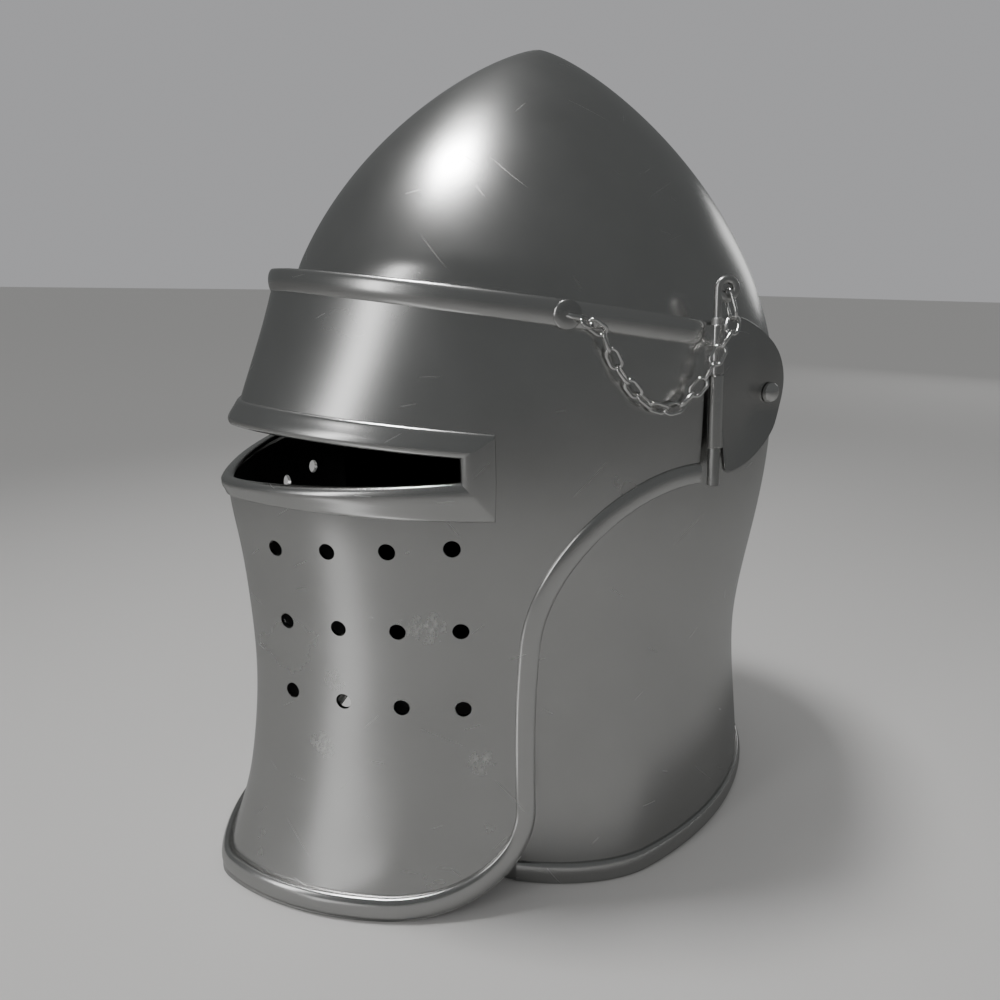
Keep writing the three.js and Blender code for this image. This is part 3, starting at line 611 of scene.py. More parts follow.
# %% Build the visor plate
VISOR_COLUMNS = 260
heights = np.linspace(0, 262, 132)
turns = np.linspace(-1, 1, VISOR_COLUMNS + 1)
grid_z, grid_t = np.meshgrid(heights, turns, indexing="ij")
end = visor_turn(HINGE_EDGE_Y + 2, heights)[:, None]
outer = visor_point(grid_z, grid_t * end)
inner = outer - PLATE * visor_normal(grid_z, grid_t * end)
visor = plate_object("visor_plate", outer, inner, False)

outline = [(FAR, 0)] + rear_edge()
outline += [(HINGE_EDGE_Y, top_edge(HINGE_EDGE_Y)), (FAR, top_edge(FAR))]
cut(visor, prism("visor_outline", outline), "INTERSECT")
slit = [(y, slit_edge(y, which)) for y, which in ((FAR, 0), (SLIT_END_Y, 0), (SLIT_END_Y, 1), (FAR, 1))]
cut(visor, prism("slit_cut", slit))
print("visor faces:", len(visor.data.polygons))

# %% [markdown]
# ## The breaths
# Twelve holes on each side let air in. They stand in level rows, at even steps measured round the
# plate, as a smith would mark them with dividers. Each cutter is a rod along the plate's normal.

# %% Drill the breaths
BREATH = 6.5
BREATH_ROWS, BREATHS_IN_ROW = 3, 4
LOW_ROW, ROW_PITCH = 91.0, 31.2
FIRST, PITCH = 22.6, 24.4
LOW_SLOPE, SLOPE_PER_ROW = 0.024, 0.038


def turn_at_girth(z, girth):
    """The turn at a distance round the visor from its ridge."""
    turns = np.linspace(0, 1, 400)
    line = visor_point(z, turns)
    return float(np.interp(girth, walked_along(line), turns))


cutters = bmesh.new()
for row in range(BREATH_ROWS):
    for place in range(BREATHS_IN_ROW):
        girth = FIRST + place * PITCH
        z = LOW_ROW + row * ROW_PITCH + (LOW_SLOPE + row * SLOPE_PER_ROW) * (girth - FIRST)
        turn_here = turn_at_girth(z, girth)
        for at in (-turn_here, turn_here):
            middle = to_scene([visor_point(z, at)])[0]
            out = Vector(visor_normal(z, at))
            spin = out.to_track_quat("Z", "Y").to_matrix().to_4x4()
            bmesh.ops.create_cone(
                cutters,
                cap_ends=True,
                segments=40,
                radius1=BREATH / 2 * MM,
                radius2=BREATH / 2 * MM,
                depth=12 * MM,
                matrix=Matrix.Translation(middle) @ spin,
            )
cutter_mesh = bpy.data.meshes.new("breath_cutters")
cutters.to_mesh(cutter_mesh)
cutters.free()
cut(visor, add_object("breath_cutters", cutter_mesh))
smooth(visor)
paint_plate(visor, VISOR_STEEL, INSIDE_STEEL)
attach(visor, "visor")
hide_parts("visor")
print("breaths drilled:", 2 * BREATH_ROWS * BREATHS_IN_ROW)

# %% [markdown]
# ## Rolled borders
# The plate's edges are turned over into a rounded bead, which stiffens them and keeps them from
# cutting. A bead follows a path, which is what Geometry Nodes does well: the path's points carry
# the direction out of the plate, and a flattened circle is swept along them.

# %% A Geometry Nodes tree that sweeps a bead along a path


def geometry(tree, kind, inputs, **values):
    """The first output of a new Geometry Nodes node."""
    return add_node(tree, "GeometryNode" + kind, inputs, **values).outputs[0]


def carried(tree, name, kind="FLOAT_VECTOR"):
    """What the points carry under a name."""
    return geometry(tree, "InputNamedAttribute", {"Name": name}, data_type=kind)


def bead_tree():
    sockets = {"Path": "Geometry", "Half Width": "Float", "Half Height": "Float", "Material": "Material"}
    tree, given = open_group("rolled_border", "GeometryNodeTree", sockets, {"Bead": "Geometry"})
    width = carried(tree, "width", "FLOAT")
    line = geometry(tree, "MeshToCurve", {0: given["Path"]})
    line = geometry(tree, "SetCurveNormal", {0: line, "Normal": carried(tree, "out")}, mode="FREE")
    line = geometry(tree, "SetCurveRadius", {0: line, "Radius": width})
    size = add_node(tree, "ShaderNodeCombineXYZ", {0: given["Half Height"], 1: given["Half Width"]})
    circle = geometry(tree, "CurvePrimitiveCircle", {"Resolution": 28, "Radius": 1.0})
    section = geometry(tree, "Transform", {0: circle, "Scale": size.outputs[0]})
    swept = geometry(tree, "CurveToMesh", {0: line, 1: section, "Scale": width, "Fill Caps": True})
    painted = geometry(tree, "SetMaterial", {0: swept, "Material": given["Material"]})
    add_node(tree, "NodeGroupOutput", {0: painted})
    return tree


BEAD = bead_tree()


def plain_mesh(made, tree, inputs):
    """Runs a tree on an object's mesh and keeps the result as a plain mesh."""
    modifier = made.modifiers.new("nodes", "NODES")
    modifier.node_group = tree
    names = {item.name: item.identifier for item in tree.interface.items_tree if item.in_out == "INPUT"}
    for key, value in inputs.items():
        modifier[names[key]] = value
    bpy.context.view_layer.update()
    apply_modifiers(made)


def path_object(name, points, out, width=None, closed=False):
    """A line of points that carries the direction out of the plate."""
    count = len(points)
    mesh = bpy.data.meshes.new(name)
    edges = [(i, (i + 1) % count) for i in range(count if closed else count - 1)]
    mesh.from_pydata([tuple(p) for p in to_scene(points)], edges, [])
    mesh.attributes.new("out", "FLOAT_VECTOR", "POINT").data.foreach_set("vector", np.ravel(out))
    widths = np.ones(count) if width is None else np.asarray(width, float)
    mesh.attributes.new("width", "FLOAT", "POINT").data.foreach_set("value", widths)
    made = add_object(name, mesh)
    return made


def round_ends(points, radius):
    """Widths along a path that end it in a half circle instead of a flat cut."""
    walked = walked_along(points)
    near = np.clip(np.minimum(walked, walked[-1] - walked) / radius, 0, 1)
    return np.sqrt(np.clip(1 - (1 - near) ** 2, 0.01, 1))


def bead(name, points, out, half_width, half_height, material, body, closed=False, width=None):
    made = path_object(name, points, out, width, closed)
    sizes = {"Half Width": half_width * MM, "Half Height": half_height * MM}
    plain_mesh(made, BEAD, sizes | {"Material": material})
    smooth(made, 50)
    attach(made, body)
    return made


# %% [markdown]
# ## Paths over the visor
# A path is given from the side, as places along y with their heights. The function below lays it
# on the visor's left half, mirrors it and joins both halves over the ridge.


# %% Lay a path on the visor
MIRROR = np.array([-1, 1, 1])
NEAR_RIDGE = 6


def over_visor(path, spacing=1.5):
    """Points and directions along a side-view path, from the left end over the ridge to the right end."""
    path = np.asarray(path, float)
    walked = walked_along(path)
    steps = np.linspace(0, walked[-1], int(walked[-1] / spacing) + 2)
    y, z = np.interp(steps, walked, path[:, 0]), np.interp(steps, walked, path[:, 1])
    turn_here = visor_turn(y, z)
    keep = turn_here > 1e-4
    z, turn_here = z[keep], turn_here[keep]
    turns = np.concatenate([turn_here, np.linspace(turn_here[-1], 0, NEAR_RIDGE + 2)[1:-1]])
    z = np.concatenate([z, np.full(NEAR_RIDGE, z[-1])])
    half, half_out = visor_point(z, turns), visor_normal(z, turns)
    tip = visor_point(z[-1:], np.zeros(1))
    points = np.concatenate([half, tip, half[::-1] * MIRROR])
    out = np.concatenate([half_out, [[0, -1, 0]], half_out[::-1] * MIRROR])
    return points, out


def ridge_place(edge):
    """Where a side-view edge line meets the ridge."""
    y = -VISOR_FRONT
    for _ in range(30):
        y = -float(visor_arch(edge(y))[0])
    return y


TOP_HALF, CHEEK_HALF, BOTTOM_HALF = 4.6, 4.1, 5.3
BEAD_PROUD = 1.9
PAST_EDGE = 0.4


def top_line(y):
    return top_edge(y) - TOP_HALF + PAST_EDGE


# %% Build the top border
stop_y = ridge_place(top_line)
top_path = [(y, top_line(y)) for y in np.linspace(HINGE_EDGE_Y - 1, stop_y, 80)]
points, out = over_visor(top_path)
ends = round_ends(points, TOP_HALF)
bead("visor_top_border", points, out, TOP_HALF, BEAD_PROUD, BORDER_STEEL, "visor", width=ends)
print("top border points:", len(points))

# %% Build the lower border, which grows wider towards the bottom
narrow, wide = np.array(rear_edge(CHEEK_HALF)), np.array(rear_edge(BOTTOM_HALF))
growth = ease(np.clip(1 - np.arange(len(narrow)) / CORNER_STEPS, 0, 1))
rear = (narrow + (wide - narrow) * growth[:, None])[::-1]
bottom_y = ridge_place(lambda y: BOTTOM_HALF)
low_path = [(y, BOTTOM_HALF) for y in np.linspace(rear[-1][0], bottom_y, 40)[1:]]
rear_path = [tuple(place) for place in rear] + low_path
points, out = over_visor(rear_path)
sizes = CHEEK_HALF + (BOTTOM_HALF - CHEEK_HALF) * growth[::-1]
grown = np.interp(-points[:, 2], -rear[:, 1], sizes)
widths = grown / CHEEK_HALF
bead("visor_lower_border", points, out, CHEEK_HALF, BEAD_PROUD, BORDER_STEEL, "visor", width=widths)
print("lower border points:", len(points))

# %% [markdown]
# ## The frame round the eye slit
# The slit's lips are turned out, and at each end an upright band joins them with square corners.
# All of it is one loop round the slit, so it is made as one closed ring: an outer and an inner line
# with matching corners, and a profile that rises from the plate, rolls over the slit's edge and
# comes back inside. Where the lines turn, the profiles meet in a mitre, as on the real frame.

# %% The frame's corners and its profile
FRAME_LOW = 171.3
FRAME_BAND = 8.8
FRAME_END_BAND = 9.8

FRAME_PROFILE = [
    (0.0, -0.5),
    (0.0, 0.3),
    (0.02, 0.75),
    (0.07, 1.1),
    (0.15, 1.35),
    (0.26, 1.6),
    (0.38, 1.9),
    (0.5, 2.25),
    (0.62, 2.6),
    (0.74, 2.8),
    (0.86, 2.75),
    (0.96, 2.4),
    (1.04, 1.8),
    (1.09, 1.0),
    (1.11, 0.1),
    (1.1, -0.8),
    (1.06, -1.7),
    (1.0, -2.2),
    (0.92, -2.3),
    (0.85, -1.7),
]


def frame_place(corner, across):
    """Side-view place of a frame corner: across is 0 at the outer line and 1 at the slit's edge."""
    outer_y = SLIT_END_Y + FRAME_END_BAND
    y = outer_y + (SLIT_END_Y - outer_y) * across
    return y, frame_line(corner, y, across)


def frame_line(corner, y, across):
    slit_z = slit_edge(y, 1 if corner == "high" else 0)
    outer_z = slit_z + FRAME_BAND if corner == "high" else FRAME_LOW
    return outer_z + (slit_z - outer_z) * across


# %% Build the frame as one ring
def frame_half_line(across, along_lip=90, up_end=24):
    """From the ridge on the lower lip, round the slit's left end, to the ridge on the upper lip."""
    halves = {}
    for corner in ("low", "high"):
        end_y, end_z = frame_place(corner, across)
        stop = ridge_place(lambda y: frame_line(corner, y, across))
        share = 1 - np.sin(np.linspace(0, math.pi / 2, along_lip))
        y = end_y + (stop - end_y) * share
        halves[corner] = (y, np.array([frame_line(corner, v, across) for v in y]))
    low_y, low_z = halves["low"]
    high_y, high_z = halves["high"]
    end_z = np.linspace(low_z[-1], high_z[-1], up_end)[1:-1]
    y = np.concatenate([low_y, np.full(up_end - 2, low_y[-1]), high_y[::-1]])
    z = np.concatenate([low_z, end_z, high_z[::-1]])
    return y, z


rings = []
for across, proud in FRAME_PROFILE:
    y, z = frame_half_line(across)
    turn_here = visor_turn(y, z)
    turn_here[[0, -1]] = 0
    lip = visor_point(z, turn_here) + proud * visor_normal(z, np.maximum(turn_here, 1e-4))
    lip[[0, -1], 0] = 0
    rings.append(np.concatenate([lip, lip[::-1][1:-1] * MIRROR]))
rings = np.array(rings)
faces = quads(*rings.shape[:2], ring=True)
frame_ring = mesh_object("slit_frame", rings.reshape(-1, 3), faces)
smooth(frame_ring, 38)
frame_ring.data.materials.append(BORDER_STEEL)
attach(frame_ring, "visor")
print("frame faces:", len(faces))

# %% [markdown]
# ## The skull's bottom border
# The same tree makes the skull's border. Its path leaves the face open, so it starts at one cheek
# and ends at the other.

# %% Build the skull's border
angles = np.linspace(0, 2 * math.pi, 721)[:-1]
ring = skull_point(BOTTOM_HALF, angles)
along = skull_point(BOTTOM_HALF, angles + 0.01) - skull_point(BOTTOM_HALF, angles - 0.01)
ring_out = np.stack([along[:, 1], -along[:, 0], 0 * along[:, 0]], -1)
ring_out /= np.linalg.norm(ring_out, axis=1, keepdims=True)
shown = ring[:, 1] > FACE_Y + FACE_ROUND
bead("skull_border", ring[shown], ring_out[shown], BOTTOM_HALF, BEAD_PROUD, BORDER_STEEL, "skull")
print("skull border points:", int(shown.sum()))

# %% [markdown]
# ## Turned pieces
# Knuckles, pins and rivets are round, as if turned on a lathe: a profile of radius and height is
# spun round a line. The helper takes the line's start and direction, because the hinge leans with
# the helm's side.


# %% Spin a profile round a line
def turned(name, profile, start, direction, material, body, ring=False, sides=48):
    """profile holds (radius, height) in millimetres; ring joins its last point to its first."""
    axis = Vector(direction).normalized()
    first = axis.orthogonal().normalized()
    second = axis.cross(first)
    spin = np.linspace(0, 2 * math.pi, sides, endpoint=False)[:, None]
    circle = np.cos(spin) * np.array(first) + np.sin(spin) * np.array(second)
    rows = [np.asarray(start) + high * np.array(axis) + radius * circle for radius, high in profile]
    made = mesh_object(name, np.concatenate(rows), quads(len(profile), sides, ring))
    smooth(made, 40)
    made.data.materials.append(material)
    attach(made, body)
    return made


# %% [markdown]
# ## The hinges
# Visor and arm each carry a rolled knuckle, and one loose pin holds them together. The knuckle is
# a tube with slightly rounded ends, and a leaf of plate runs from it to the visor or the arm.

# %% The hinge line and its two knuckles
PIVOT_Y, PIVOT_Z = 51.0, 212.0
HINGE_Y, HINGE_X, HINGE_LEAN = 9.0, 107.0, 0.082
SPLIT_Z, KNUCKLE_TOP_Z, KNUCKLE_LOW_Z = 222.0, 240.0, 195.0
GAP = 0.3
KNUCKLE_RADIUS, BORE_RADIUS, PIN_RADIUS = 2.8, 2.35, 2.25
SIDES = ((1, "left"), (-1, "right"))
HINGE_WAY = Vector((-HINGE_LEAN, 0, 1))
HINGE_STRETCH = HINGE_WAY.length


def hinge_x(z):
    return HINGE_X - HINGE_LEAN * (z - PIVOT_Z)


def hinge_start(z, side):
    return (side * hinge_x(z), HINGE_Y, z)


def hinge_way(side):
    return (side * HINGE_WAY.x, 0, 1)


def knuckle(name, low, high, side, material, body, slot):
    tall, soft = (high - low) * HINGE_STRETCH, 0.35
    profile = [
        (BORE_RADIUS, 0),
        (KNUCKLE_RADIUS - soft, 0),
        (KNUCKLE_RADIUS, soft),
        (KNUCKLE_RADIUS, tall - soft),
        (KNUCKLE_RADIUS - soft, tall),
        (BORE_RADIUS, tall),
    ]
    return turned(name, profile, hinge_start(low, side), hinge_way(side), material, body, ring=True)


for side, hand in SIDES:
    upper = (f"visor_knuckle_{hand}", SPLIT_Z + GAP, KNUCKLE_TOP_Z, side)
    lower = (f"arm_knuckle_{hand}", KNUCKLE_LOW_Z, SPLIT_Z, side)
    knuckle(*upper, VISOR_STEEL, "visor", "visor_steel")
    knuckle(*lower, KNUCKLE_STEEL, "visor", "arm_steel")
print("knuckle tops, mm:", KNUCKLE_TOP_Z, SPLIT_Z)

# %% [markdown]
# ## The side arms
# Each arm is a curved plate with a straight front and a round back. It lies flat round its rivet
# and spreads outwards in front, so that it clears the skull and meets the hinge. Its rings of
# points run from the rivet's hole to the outline, and a bevel softens the cut edge.

# %% The arm's surface
ARM_MIDDLE_Z, ARM_HALF_HEIGHT, ARM_TAIL = 214.0, 29.3, 11.0
ARM_FRONT_Y, ARM_SHOULDER_Y = 12.9, 17.0
ARM_FLAT, ARM_SPLAY, ARM_TWIST, ARM_LEAN = 8.0, 0.3, 0.0024, 0.1
ARM_TAIL_FLAT, ARM_TAIL_BEND, ARM_PLATE, ARM_ROOM = 4.6, 0.2, 1.8, 0.6
FRONT_SOFT, TOP_SOFT, TAIL_SOFT = 2.0, 4.0, 1.8
SHOULDER_ROUND = 10.0
RIVET_HOLE = 2.3


def skull_side_x(y, z):
    side, back = float(skull_point(z, math.pi / 2)[0]), float(skull_point(z, math.pi)[1])
    return side * math.sqrt(1 - (y / back) ** 2)


ARM_SEAT_X = skull_side_x(PIVOT_Y - ARM_FLAT, PIVOT_Z) + ARM_ROOM


def above_zero(value, soft):
    """Like max(value, 0), but rounded where it starts, as bent plate is."""
    return soft * np.log1p(np.exp(np.clip(value / soft, -60, 60)))


def arm_x(y, z):
    ahead, below = np.maximum(PIVOT_Y - y, 0), np.maximum(PIVOT_Z - z, 0)
    reach = above_zero(np.hypot(ahead, below) - ARM_FLAT, FRONT_SOFT)
    lean = above_zero(z - PIVOT_Z - ARM_FLAT, TOP_SOFT) * ARM_LEAN
    bend = above_zero(y - PIVOT_Y - ARM_TAIL_FLAT, TAIL_SOFT) * ARM_TAIL_BEND
    return ARM_SEAT_X + reach * (ARM_SPLAY + ARM_TWIST * (PIVOT_Z - z)) - lean - bend


# %% Build the arms
def shoulder(y):
    """How far the outline falls between the straight front and the round back."""
    return (ARM_SHOULDER_Y - y) ** 2 / SHOULDER_ROUND


tail = PIVOT_Y + ARM_TAIL - ARM_SHOULDER_Y
low_z, high_z = ARM_MIDDLE_Z - ARM_HALF_HEIGHT, ARM_MIDDLE_Z + ARM_HALF_HEIGHT
arm_line = arc(ARM_SHOULDER_Y, ARM_MIDDLE_Z, tail, ARM_HALF_HEIGHT, -90, 90, 90)
front_y = np.linspace(ARM_SHOULDER_Y, ARM_FRONT_Y, 6)
arm_line += [(y, high_z - shoulder(y)) for y in front_y[1:]]
front_z = np.linspace(arm_line[-1][1], low_z + shoulder(ARM_FRONT_Y), 40)
arm_line += [(ARM_FRONT_Y, z) for z in front_z[1:]]
arm_line += [(y, low_z + shoulder(y)) for y in front_y[-2:0:-1]]
arm_line = np.array(arm_line)
round_pivot = np.arctan2(arm_line[:, 1] - PIVOT_Z, arm_line[:, 0] - PIVOT_Y)
hole = np.stack([np.cos(round_pivot), np.sin(round_pivot)], -1) * RIVET_HOLE + (PIVOT_Y, PIVOT_Z)

for side, hand in SIDES:
    share = np.linspace(0, 1, 26)[:, None, None]
    places = hole + (arm_line - hole) * share
    x = arm_x(places[..., 0], places[..., 1])
    inner = np.stack([side * x, places[..., 0], places[..., 1]], -1)
    arm = plate_object(f"arm_plate_{hand}", inner + (side * ARM_PLATE, 0, 0), inner, True)
    bevel = arm.modifiers.new("soft edge", "BEVEL")
    bevel.width, bevel.segments = 0.4 * MM, 2
    bevel.limit_method, bevel.angle_limit = "ANGLE", math.radians(50)
    apply_modifiers(arm)
    smooth(arm, 40)
    arm.data.materials.append(ARM_STEEL)
    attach(arm, "visor")
    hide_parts(f"pivot_arm_{hand}")
print("arm faces:", len(arm.data.polygons))

# %% [markdown]
# ## The leaves
# A leaf is the strip of plate between a knuckle and the piece that carries it. From above it is a
# short curve: off the plate, then round to the knuckle's outside.

# %% Build the leaves
LEAF_PLATE = 1.6
LEAF_SUNK, LEAF_BULGE = 0.1, 0.3


def leaf(name, seat, low, high, side, material):
    """seat gives the two places, x and y, where the leaf lies in its plate at a height."""
    middle = []
    for z in np.linspace(low, high, 12):
        far, near = seat(z)
        outside = hinge_x(z) + KNUCKLE_RADIUS - LEAF_PLATE / 2 - LEAF_SUNK
        halfway = ((near[0] + outside) / 2 + LEAF_BULGE, (near[1] + HINGE_Y) / 2)
        middle.append([(side * x, y, z) for x, y in (far, near, halfway, (outside, HINGE_Y))])
    middle = np.array(middle)
    half = np.array([side * LEAF_PLATE / 2, 0, 0])
    made = plate_object(name, middle + half, middle - half, False)
    smooth(made, 45)
    made.data.materials.append(material)
    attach(made, "visor")
    return made


def visor_seat(z):
    places = []
    for y in (HINGE_EDGE_Y - 5, HINGE_EDGE_Y - 0.5):
        places.append((float(visor_point(z, visor_turn(y, z))[0]) - PLATE / 2, y))
    return places


def arm_seat(z):
    return [(float(arm_x(y, z)) + ARM_PLATE / 2, y) for y in (ARM_FRONT_Y + 5, ARM_FRONT_Y + 0.5)]


for side, hand in SIDES:
    leaf(f"visor_leaf_{hand}", visor_seat, SPLIT_Z + GAP, KNUCKLE_TOP_Z, side, VISOR_STEEL)
    leaf(f"arm_leaf_{hand}", arm_seat, KNUCKLE_LOW_Z, SPLIT_Z, side, ARM_STEEL)
print("leaves:", 2 * len(SIDES))

# %% [markdown]
# ## The pins
# A pin is a plated rod with a flat end. Its top is drawn thinner and bent into a loop for the
# chain. The rod is turned; the neck and the loop are one wire, swept by the same tree as the beads.

# %% Build the pins
PIN_LOW_Z, SHOULDER_Z, LOOP_Z, PIN_BEVEL = 180.5, 242.5, 252.8, 0.3
NECK_RADIUS, LOOP_RADIUS, LOOP_TURN = 1.55, 3.2, math.radians(25)


def wire(name, points, radius, material, body, slot, closed=False, out=(1, 0, 0)):
    direction = np.tile(np.asarray(out, float), (len(points), 1))
    made = bead(name, points, direction, radius, radius, material, body, closed=closed)
    return made


for side, hand in SIDES:
    tall = (SHOULDER_Z - PIN_LOW_Z) * HINGE_STRETCH
    profile = [
        (0, 0),
        (PIN_RADIUS - PIN_BEVEL, 0),
        (PIN_RADIUS, PIN_BEVEL),
        (PIN_RADIUS, tall - 0.8),
        (NECK_RADIUS + 0.2, tall),
        (0, tall),
    ]
    start, way = hinge_start(PIN_LOW_Z, side), hinge_way(side)
    rod = turned(f"pin_rod_{hand}", profile, start, way, PIN_STEEL, "visor")
    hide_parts(f"hinge_pin_{hand}")
    neck = [(0, z) for z in np.linspace(SHOULDER_Z - 1, LOOP_Z, 12)]
    bend = arc(LOOP_RADIUS, LOOP_Z, LOOP_RADIUS, LOOP_RADIUS, 180, -150, 48)[1:]
    turn_x, turn_y = side * math.sin(LOOP_TURN), math.cos(LOOP_TURN)
    points = [(side * hinge_x(z) + away * turn_x, HINGE_Y + away * turn_y, z) for away, z in neck + bend]
    across = (side * turn_y, -side * turn_x, 0)
    wire(f"pin_loop_{hand}", points, NECK_RADIUS, LOOP_STEEL, "visor", "pin_steel", out=across)
print("pin length, mm:", round(tall, 1))

# %% [markdown]
# ## The pivot rivets
# The arm turns on a rivet through the skull. Its head is domed and bright, a collar keeps the arm
# off the skull, and a flat head closes it inside.

# %% Build the rivets
SHANK, HEAD_RADIUS, HEAD_HEIGHT, HEAD_EDGE = 2.0, 4.2, 3.0, 0.4
COLLAR_RADIUS, TAIL_RADIUS, TAIL_HEIGHT, TAIL_DEPTH = 4.5, 3.8, 1.8, 3.6
collar_in = skull_side_x(PIVOT_Y - COLLAR_RADIUS, PIVOT_Z) + GAP
tail_out = skull_side_x(PIVOT_Y + TAIL_RADIUS, PIVOT_Z) - TAIL_DEPTH
head_in = ARM_SEAT_X + ARM_PLATE + GAP
head_rim = head_in + HEAD_EDGE
dome = arc(0, head_rim, HEAD_RADIUS, HEAD_HEIGHT, 0, 90, 11)
rivet_profile = [
    (0, tail_out - TAIL_HEIGHT),
    (TAIL_RADIUS - 0.8, tail_out - TAIL_HEIGHT),
    (TAIL_RADIUS, tail_out - 0.7),
    (TAIL_RADIUS, tail_out),
    (SHANK, tail_out),
    (SHANK, collar_in),
    (COLLAR_RADIUS, collar_in),
    (COLLAR_RADIUS, ARM_SEAT_X - GAP),
    (SHANK, ARM_SEAT_X - GAP),
    (SHANK, head_in),
    (HEAD_RADIUS, head_in),
]
for side, hand in SIDES:
    start, way, profile = (0, PIVOT_Y, PIVOT_Z), (side, 0, 0), rivet_profile + dome
    rivet = turned(f"rivet_{hand}", profile, start, way, KNUCKLE_STEEL, "skull")
    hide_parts(f"pivot_rivet_{hand}")
print("rivet head stands out to x, mm:", round(head_rim + HEAD_HEIGHT, 1))

# %% [markdown]
# ## The chains
# Each chain is a row of equal wire links, every one turned a quarter from the one before, so it is
# work for Geometry Nodes: one point for each link, with the link's direction and its width's
# direction as attributes. The points are measured from the CAD links, which already hang right.

# %% Measure a piece of wire
WIRE = 1.1
WIRE_SHOWN = 1.35


def measured(points):
    """Middle, main directions and spans of a cloud of points, longest first."""
    middle = points.mean(0)
    values, axes = np.linalg.eigh(np.cov((points - middle).T))
    axes = axes[:, ::-1].T
    reach = (points - middle) @ axes.T
    return middle + ((reach.max(0) + reach.min(0)) / 2) @ axes, axes, np.ptp(reach, axis=0)


def node_points(name):
    node = nodes[name]
    flat = np.empty(3 * len(node.data.vertices))
    node.data.vertices.foreach_get("co", flat)
    turned_points = flat.reshape(-1, 3) @ np.array(node.matrix_world.to_3x3()).T
    return np.unique(np.round(turned_points + np.array(node.matrix_world.translation), 7), axis=0)


# %% A Geometry Nodes tree that sets links on points
def link_tree():
    sockets = {"Places": "Geometry", "Material": "Material"}
    sockets |= dict.fromkeys(("Length", "Width", "Wire"), "Float")
    tree, given = open_group("chain_links", "GeometryNodeTree", sockets, {"Links": "Geometry"})
    corner = add_node(tree, "ShaderNodeMath", {0: given["Width"], 1: 0.499}, operation="MULTIPLY")
    half = add_node(tree, "ShaderNodeMath", {0: given["Wire"], 1: 0.5}, operation="MULTIPLY")
    oblong = {"Width": given["Length"], "Height": given["Width"]}
    oblong = geometry(tree, "CurvePrimitiveQuadrilateral", oblong)
    rounded = {0: oblong, "Radius": corner.outputs[0], "Count": 7}
    rounded = geometry(tree, "FilletCurve", rounded, mode="POLY")
    section = geometry(tree, "CurvePrimitiveCircle", {"Resolution": 12, "Radius": half.outputs[0]})
    one = geometry(tree, "CurveToMesh", {0: rounded, 1: section})
    spin = {0: carried(tree, "along"), 1: carried(tree, "across")}
    spin = add_node(tree, "FunctionNodeAxesToRotation", spin, primary_axis="X", secondary_axis="Y")
    row = {"Points": given["Places"], "Instance": one, "Rotation": spin.outputs[0]}
    row = geometry(tree, "RealizeInstances", {0: geometry(tree, "InstanceOnPoints", row)})
    painted = geometry(tree, "SetMaterial", {0: row, "Material": given["Material"]})
    add_node(tree, "NodeGroupOutput", {0: painted})
    return tree


LINKS = link_tree()


# %% Build the chains
def links_object(name, rows, length, width, replaced):
    """One mesh of links at the measured places, all of one size."""
    mesh = bpy.data.meshes.new(name)
    mesh.from_pydata([tuple(middle) for middle, axes in rows], [], [])
    for key, axis in (("along", 0), ("across", 1)):
        values = np.ravel([axes[axis] for middle, axes in rows])
        mesh.attributes.new(key, "FLOAT_VECTOR", "POINT").data.foreach_set("vector", values)
    made = add_object(name, mesh)
    sizes = {"Length": length, "Width": width, "Wire": WIRE_SHOWN * MM, "Material": CHAIN_STEEL}
    plain_mesh(made, LINKS, sizes)
    made.data.shade_smooth()
    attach(made, "visor")
    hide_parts(*replaced)
    return made


for hand in ("left", "right"):
    names = sorted(name for name in nodes if name.startswith(f"chain_link_{hand}"))
    found = [measured(node_points(name)) for name in names]
    rows = [(middle, axes) for middle, axes, spans in found]
    plain = float(np.median([spans[0] for middle, axes, spans in found])) - WIRE * MM
    wide = float(np.median([spans[1] for middle, axes, spans in found])) - WIRE * MM
    links_object(f"chain_{hand}", rows[:-1], plain, wide, names[:-1])
    last = found[-1][2]
    links_object(f"end_link_{hand}", rows[-1:], last[0] - WIRE * MM, last[1] - WIRE * MM, names[-1:])
print("links on each side:", len(names))
print("length and width of a link's middle line, mm:", round(plain / MM, 2), round(wide / MM, 2))

# %% [markdown]
# ## The chains' anchors
# A flat round stud on the visor's top border holds a small bent eye, and the first link hangs in
# it. The stud is turned, and the eye is a ring of wire laid where the CAD eye is.

# %% Build the anchors
ANCHOR_Y, STUD_RADIUS, STEM_WIRE = -49.0, 5.0, 1.1
EYE_RADIUS, EYE_WIRE = 2.3, 0.75
STUD_DROP, EYE_OUT = 4.5, 3.9
anchor_z = top_edge(ANCHOR_Y) - STUD_DROP
anchor_turn = visor_turn(ANCHOR_Y, anchor_z)
seat, stud_out = visor_point(anchor_z, anchor_turn), visor_normal(anchor_z, anchor_turn)
stud_back = np.array([-stud_out[1], stud_out[0], 0])

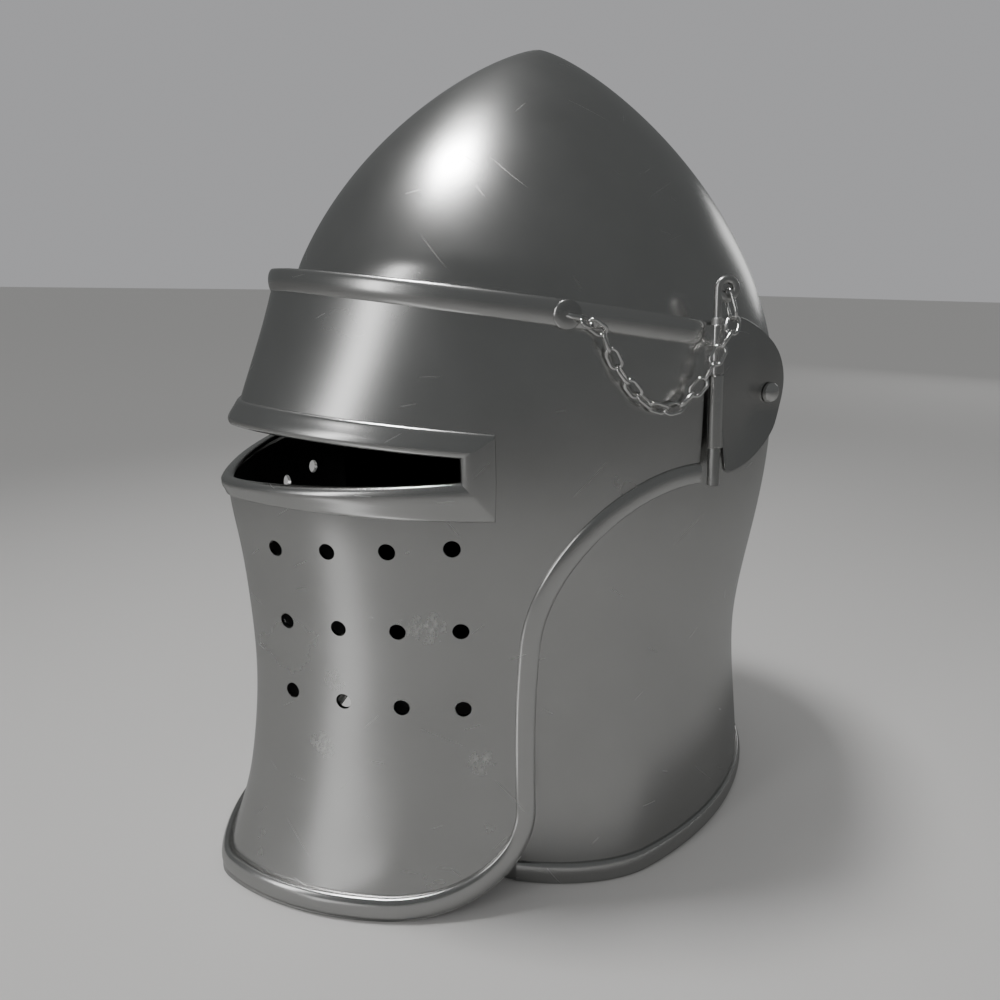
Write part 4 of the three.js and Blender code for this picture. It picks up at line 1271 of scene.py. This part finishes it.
for side, hand in SIDES:
    flip = np.array([side, 1, 1])
    way, back = stud_out * flip, stud_back * flip
    stud_profile = [(0, 0.6), (STUD_RADIUS - 0.5, 0.6), (STUD_RADIUS, 1.1), (STUD_RADIUS, 2.2)]
    stud_profile += [(STUD_RADIUS - 0.5, 2.75), (STUD_RADIUS - 2.2, 3.1), (1.4, 3.2), (0, 3.2)]
    stud = turned(f"anchor_stud_{hand}", stud_profile, seat * flip, way, ARM_STEEL, "visor")
    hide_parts(f"chain_anchor_{hand}")
    beside, below = STUD_RADIUS + 0.75 * EYE_RADIUS, 0.8 * EYE_RADIUS
    eye_middle = seat * flip + way * EYE_OUT + back * beside - (0, 0, below)
    cloud = node_points(f"chain_anchor_{hand}") / MM - (0, SHIFT, 0)
    near = cloud[np.linalg.norm(cloud - eye_middle, axis=1) < EYE_RADIUS + 1.2]
    eye_middle, axes, spans = measured(near)
    angles = np.linspace(0, 2 * math.pi, 40, endpoint=False)[:, None]
    circle = eye_middle + EYE_RADIUS * (np.cos(angles) * axes[0] + np.sin(angles) * axes[1])
    look = (KNUCKLE_STEEL, "visor", "arm_steel")
    wire(f"anchor_eye_{hand}", circle, EYE_WIRE, *look, closed=True, out=axes[2])
    stem_end = eye_middle - axes[0] * np.sign(np.dot(axes[0], back)) * EYE_RADIUS
    toward = seat * flip + way * 2.6
    share = np.linspace(0, 1, 14)[:, None]
    stem = toward + (stem_end - toward) * share + way * 0.7 * np.sin(math.pi * share)
    wire(f"anchor_stem_{hand}", stem, STEM_WIRE, *look, out=axes[2])
print("eye spans, mm:", [round(float(v), 2) for v in spans])

# %% [markdown]
# ## Floor and light
# The helm stands on a plain pale floor. Polished steel shows the room more than itself, so the
# lamps are large and soft, with darker room between them.

# %% The floor, darker where the steel mirrors it
def choose_by_ray(tree, ray, usual, chosen, output):
    """Shows one kind of ray a shader of its own, and every other ray the usual one."""
    path = add_node(tree, "ShaderNodeLightPath").outputs[ray]
    either = {0: path, 1: usual.outputs[0], 2: chosen.outputs[0]}
    fill(tree.nodes[output], {0: add_node(tree, "ShaderNodeMixShader", either).outputs[0]})


bpy.ops.mesh.primitive_plane_add(size=40.0, location=(0, 0, 0))
floor = bpy.context.object
floor.name = "floor"
floor_paint = bpy.data.materials.new("floor_paint")
floor_paint.use_nodes = True
floor_tree = floor_paint.node_tree
paint = floor_tree.nodes["Principled BSDF"]
fill(paint, {"Base Color": (0.6, 0.59, 0.58, 1), "Roughness": 0.8})
shade = add_node(floor_tree, "ShaderNodeBsdfDiffuse", {"Color": (0.31, 0.31, 0.305, 1)})
choose_by_ray(floor_tree, "Is Glossy Ray", paint, shade, "Material Output")
floor.data.materials.append(floor_paint)


# %% Lamps
def hang(data, place, aim, mirrored):
    """Hangs a lamp; mirrored says whether the steel shows the lamp itself."""
    made = add_object(data.name, data)
    made.location = place
    made.rotation_mode = "QUATERNION"
    made.rotation_quaternion = (Vector(aim) - Vector(place)).to_track_quat("-Z", "Y")
    made.visible_glossy = mirrored
    made.visible_camera = False
    return made


def soft_lamp(name, place, aim, size, power, mirrored=True, spread=180):
    data = bpy.data.lights.new(name, "AREA")
    data.shape = "RECTANGLE"
    data.size, data.size_y = size
    data.energy = power
    data.spread = math.radians(spread)
    return hang(data, place, aim, mirrored)


soft_lamp("crown spot", (-0.19, -0.36, 1.55), (0.04, -0.05, 0.3), (0.26, 0.26), 2.2, spread=70)
soft_lamp("tall front", (0.25, -1.9, 0.75), (0.05, -0.1, 0.2), (0.3, 1.2), 5)
soft_lamp("rear right", (-0.8, 2.2, 0.75), (0, 0, 0.25), (0.5, 0.6), 1.6)
soft_lamp("floor strip", (0.078, -0.29, 0.002), (0.078, -0.29, 1), (0.05, 0.3), 0.035)
sky = bpy.data.lights.new("ceiling", "SUN")
sky.energy = 1.0
sky.angle = math.radians(120)
hang(sky, (0.3, -0.3, 2), (0, 0, 0), False)

# %% The room: dark where the steel mirrors it, pale where the camera looks past the helm
world = bpy.data.worlds.new("room")
bpy.context.scene.world = world
world.use_nodes = True
room = world.node_tree
dim = room.nodes["Background"]
fill(dim, {"Color": (0.8, 0.83, 0.83, 1), "Strength": 0.14})
pale = add_node(room, "ShaderNodeBackground", {"Color": (0.8, 0.8, 0.82, 1), "Strength": 0.48})
choose_by_ray(room, "Is Camera Ray", dim, pale, "World Output")
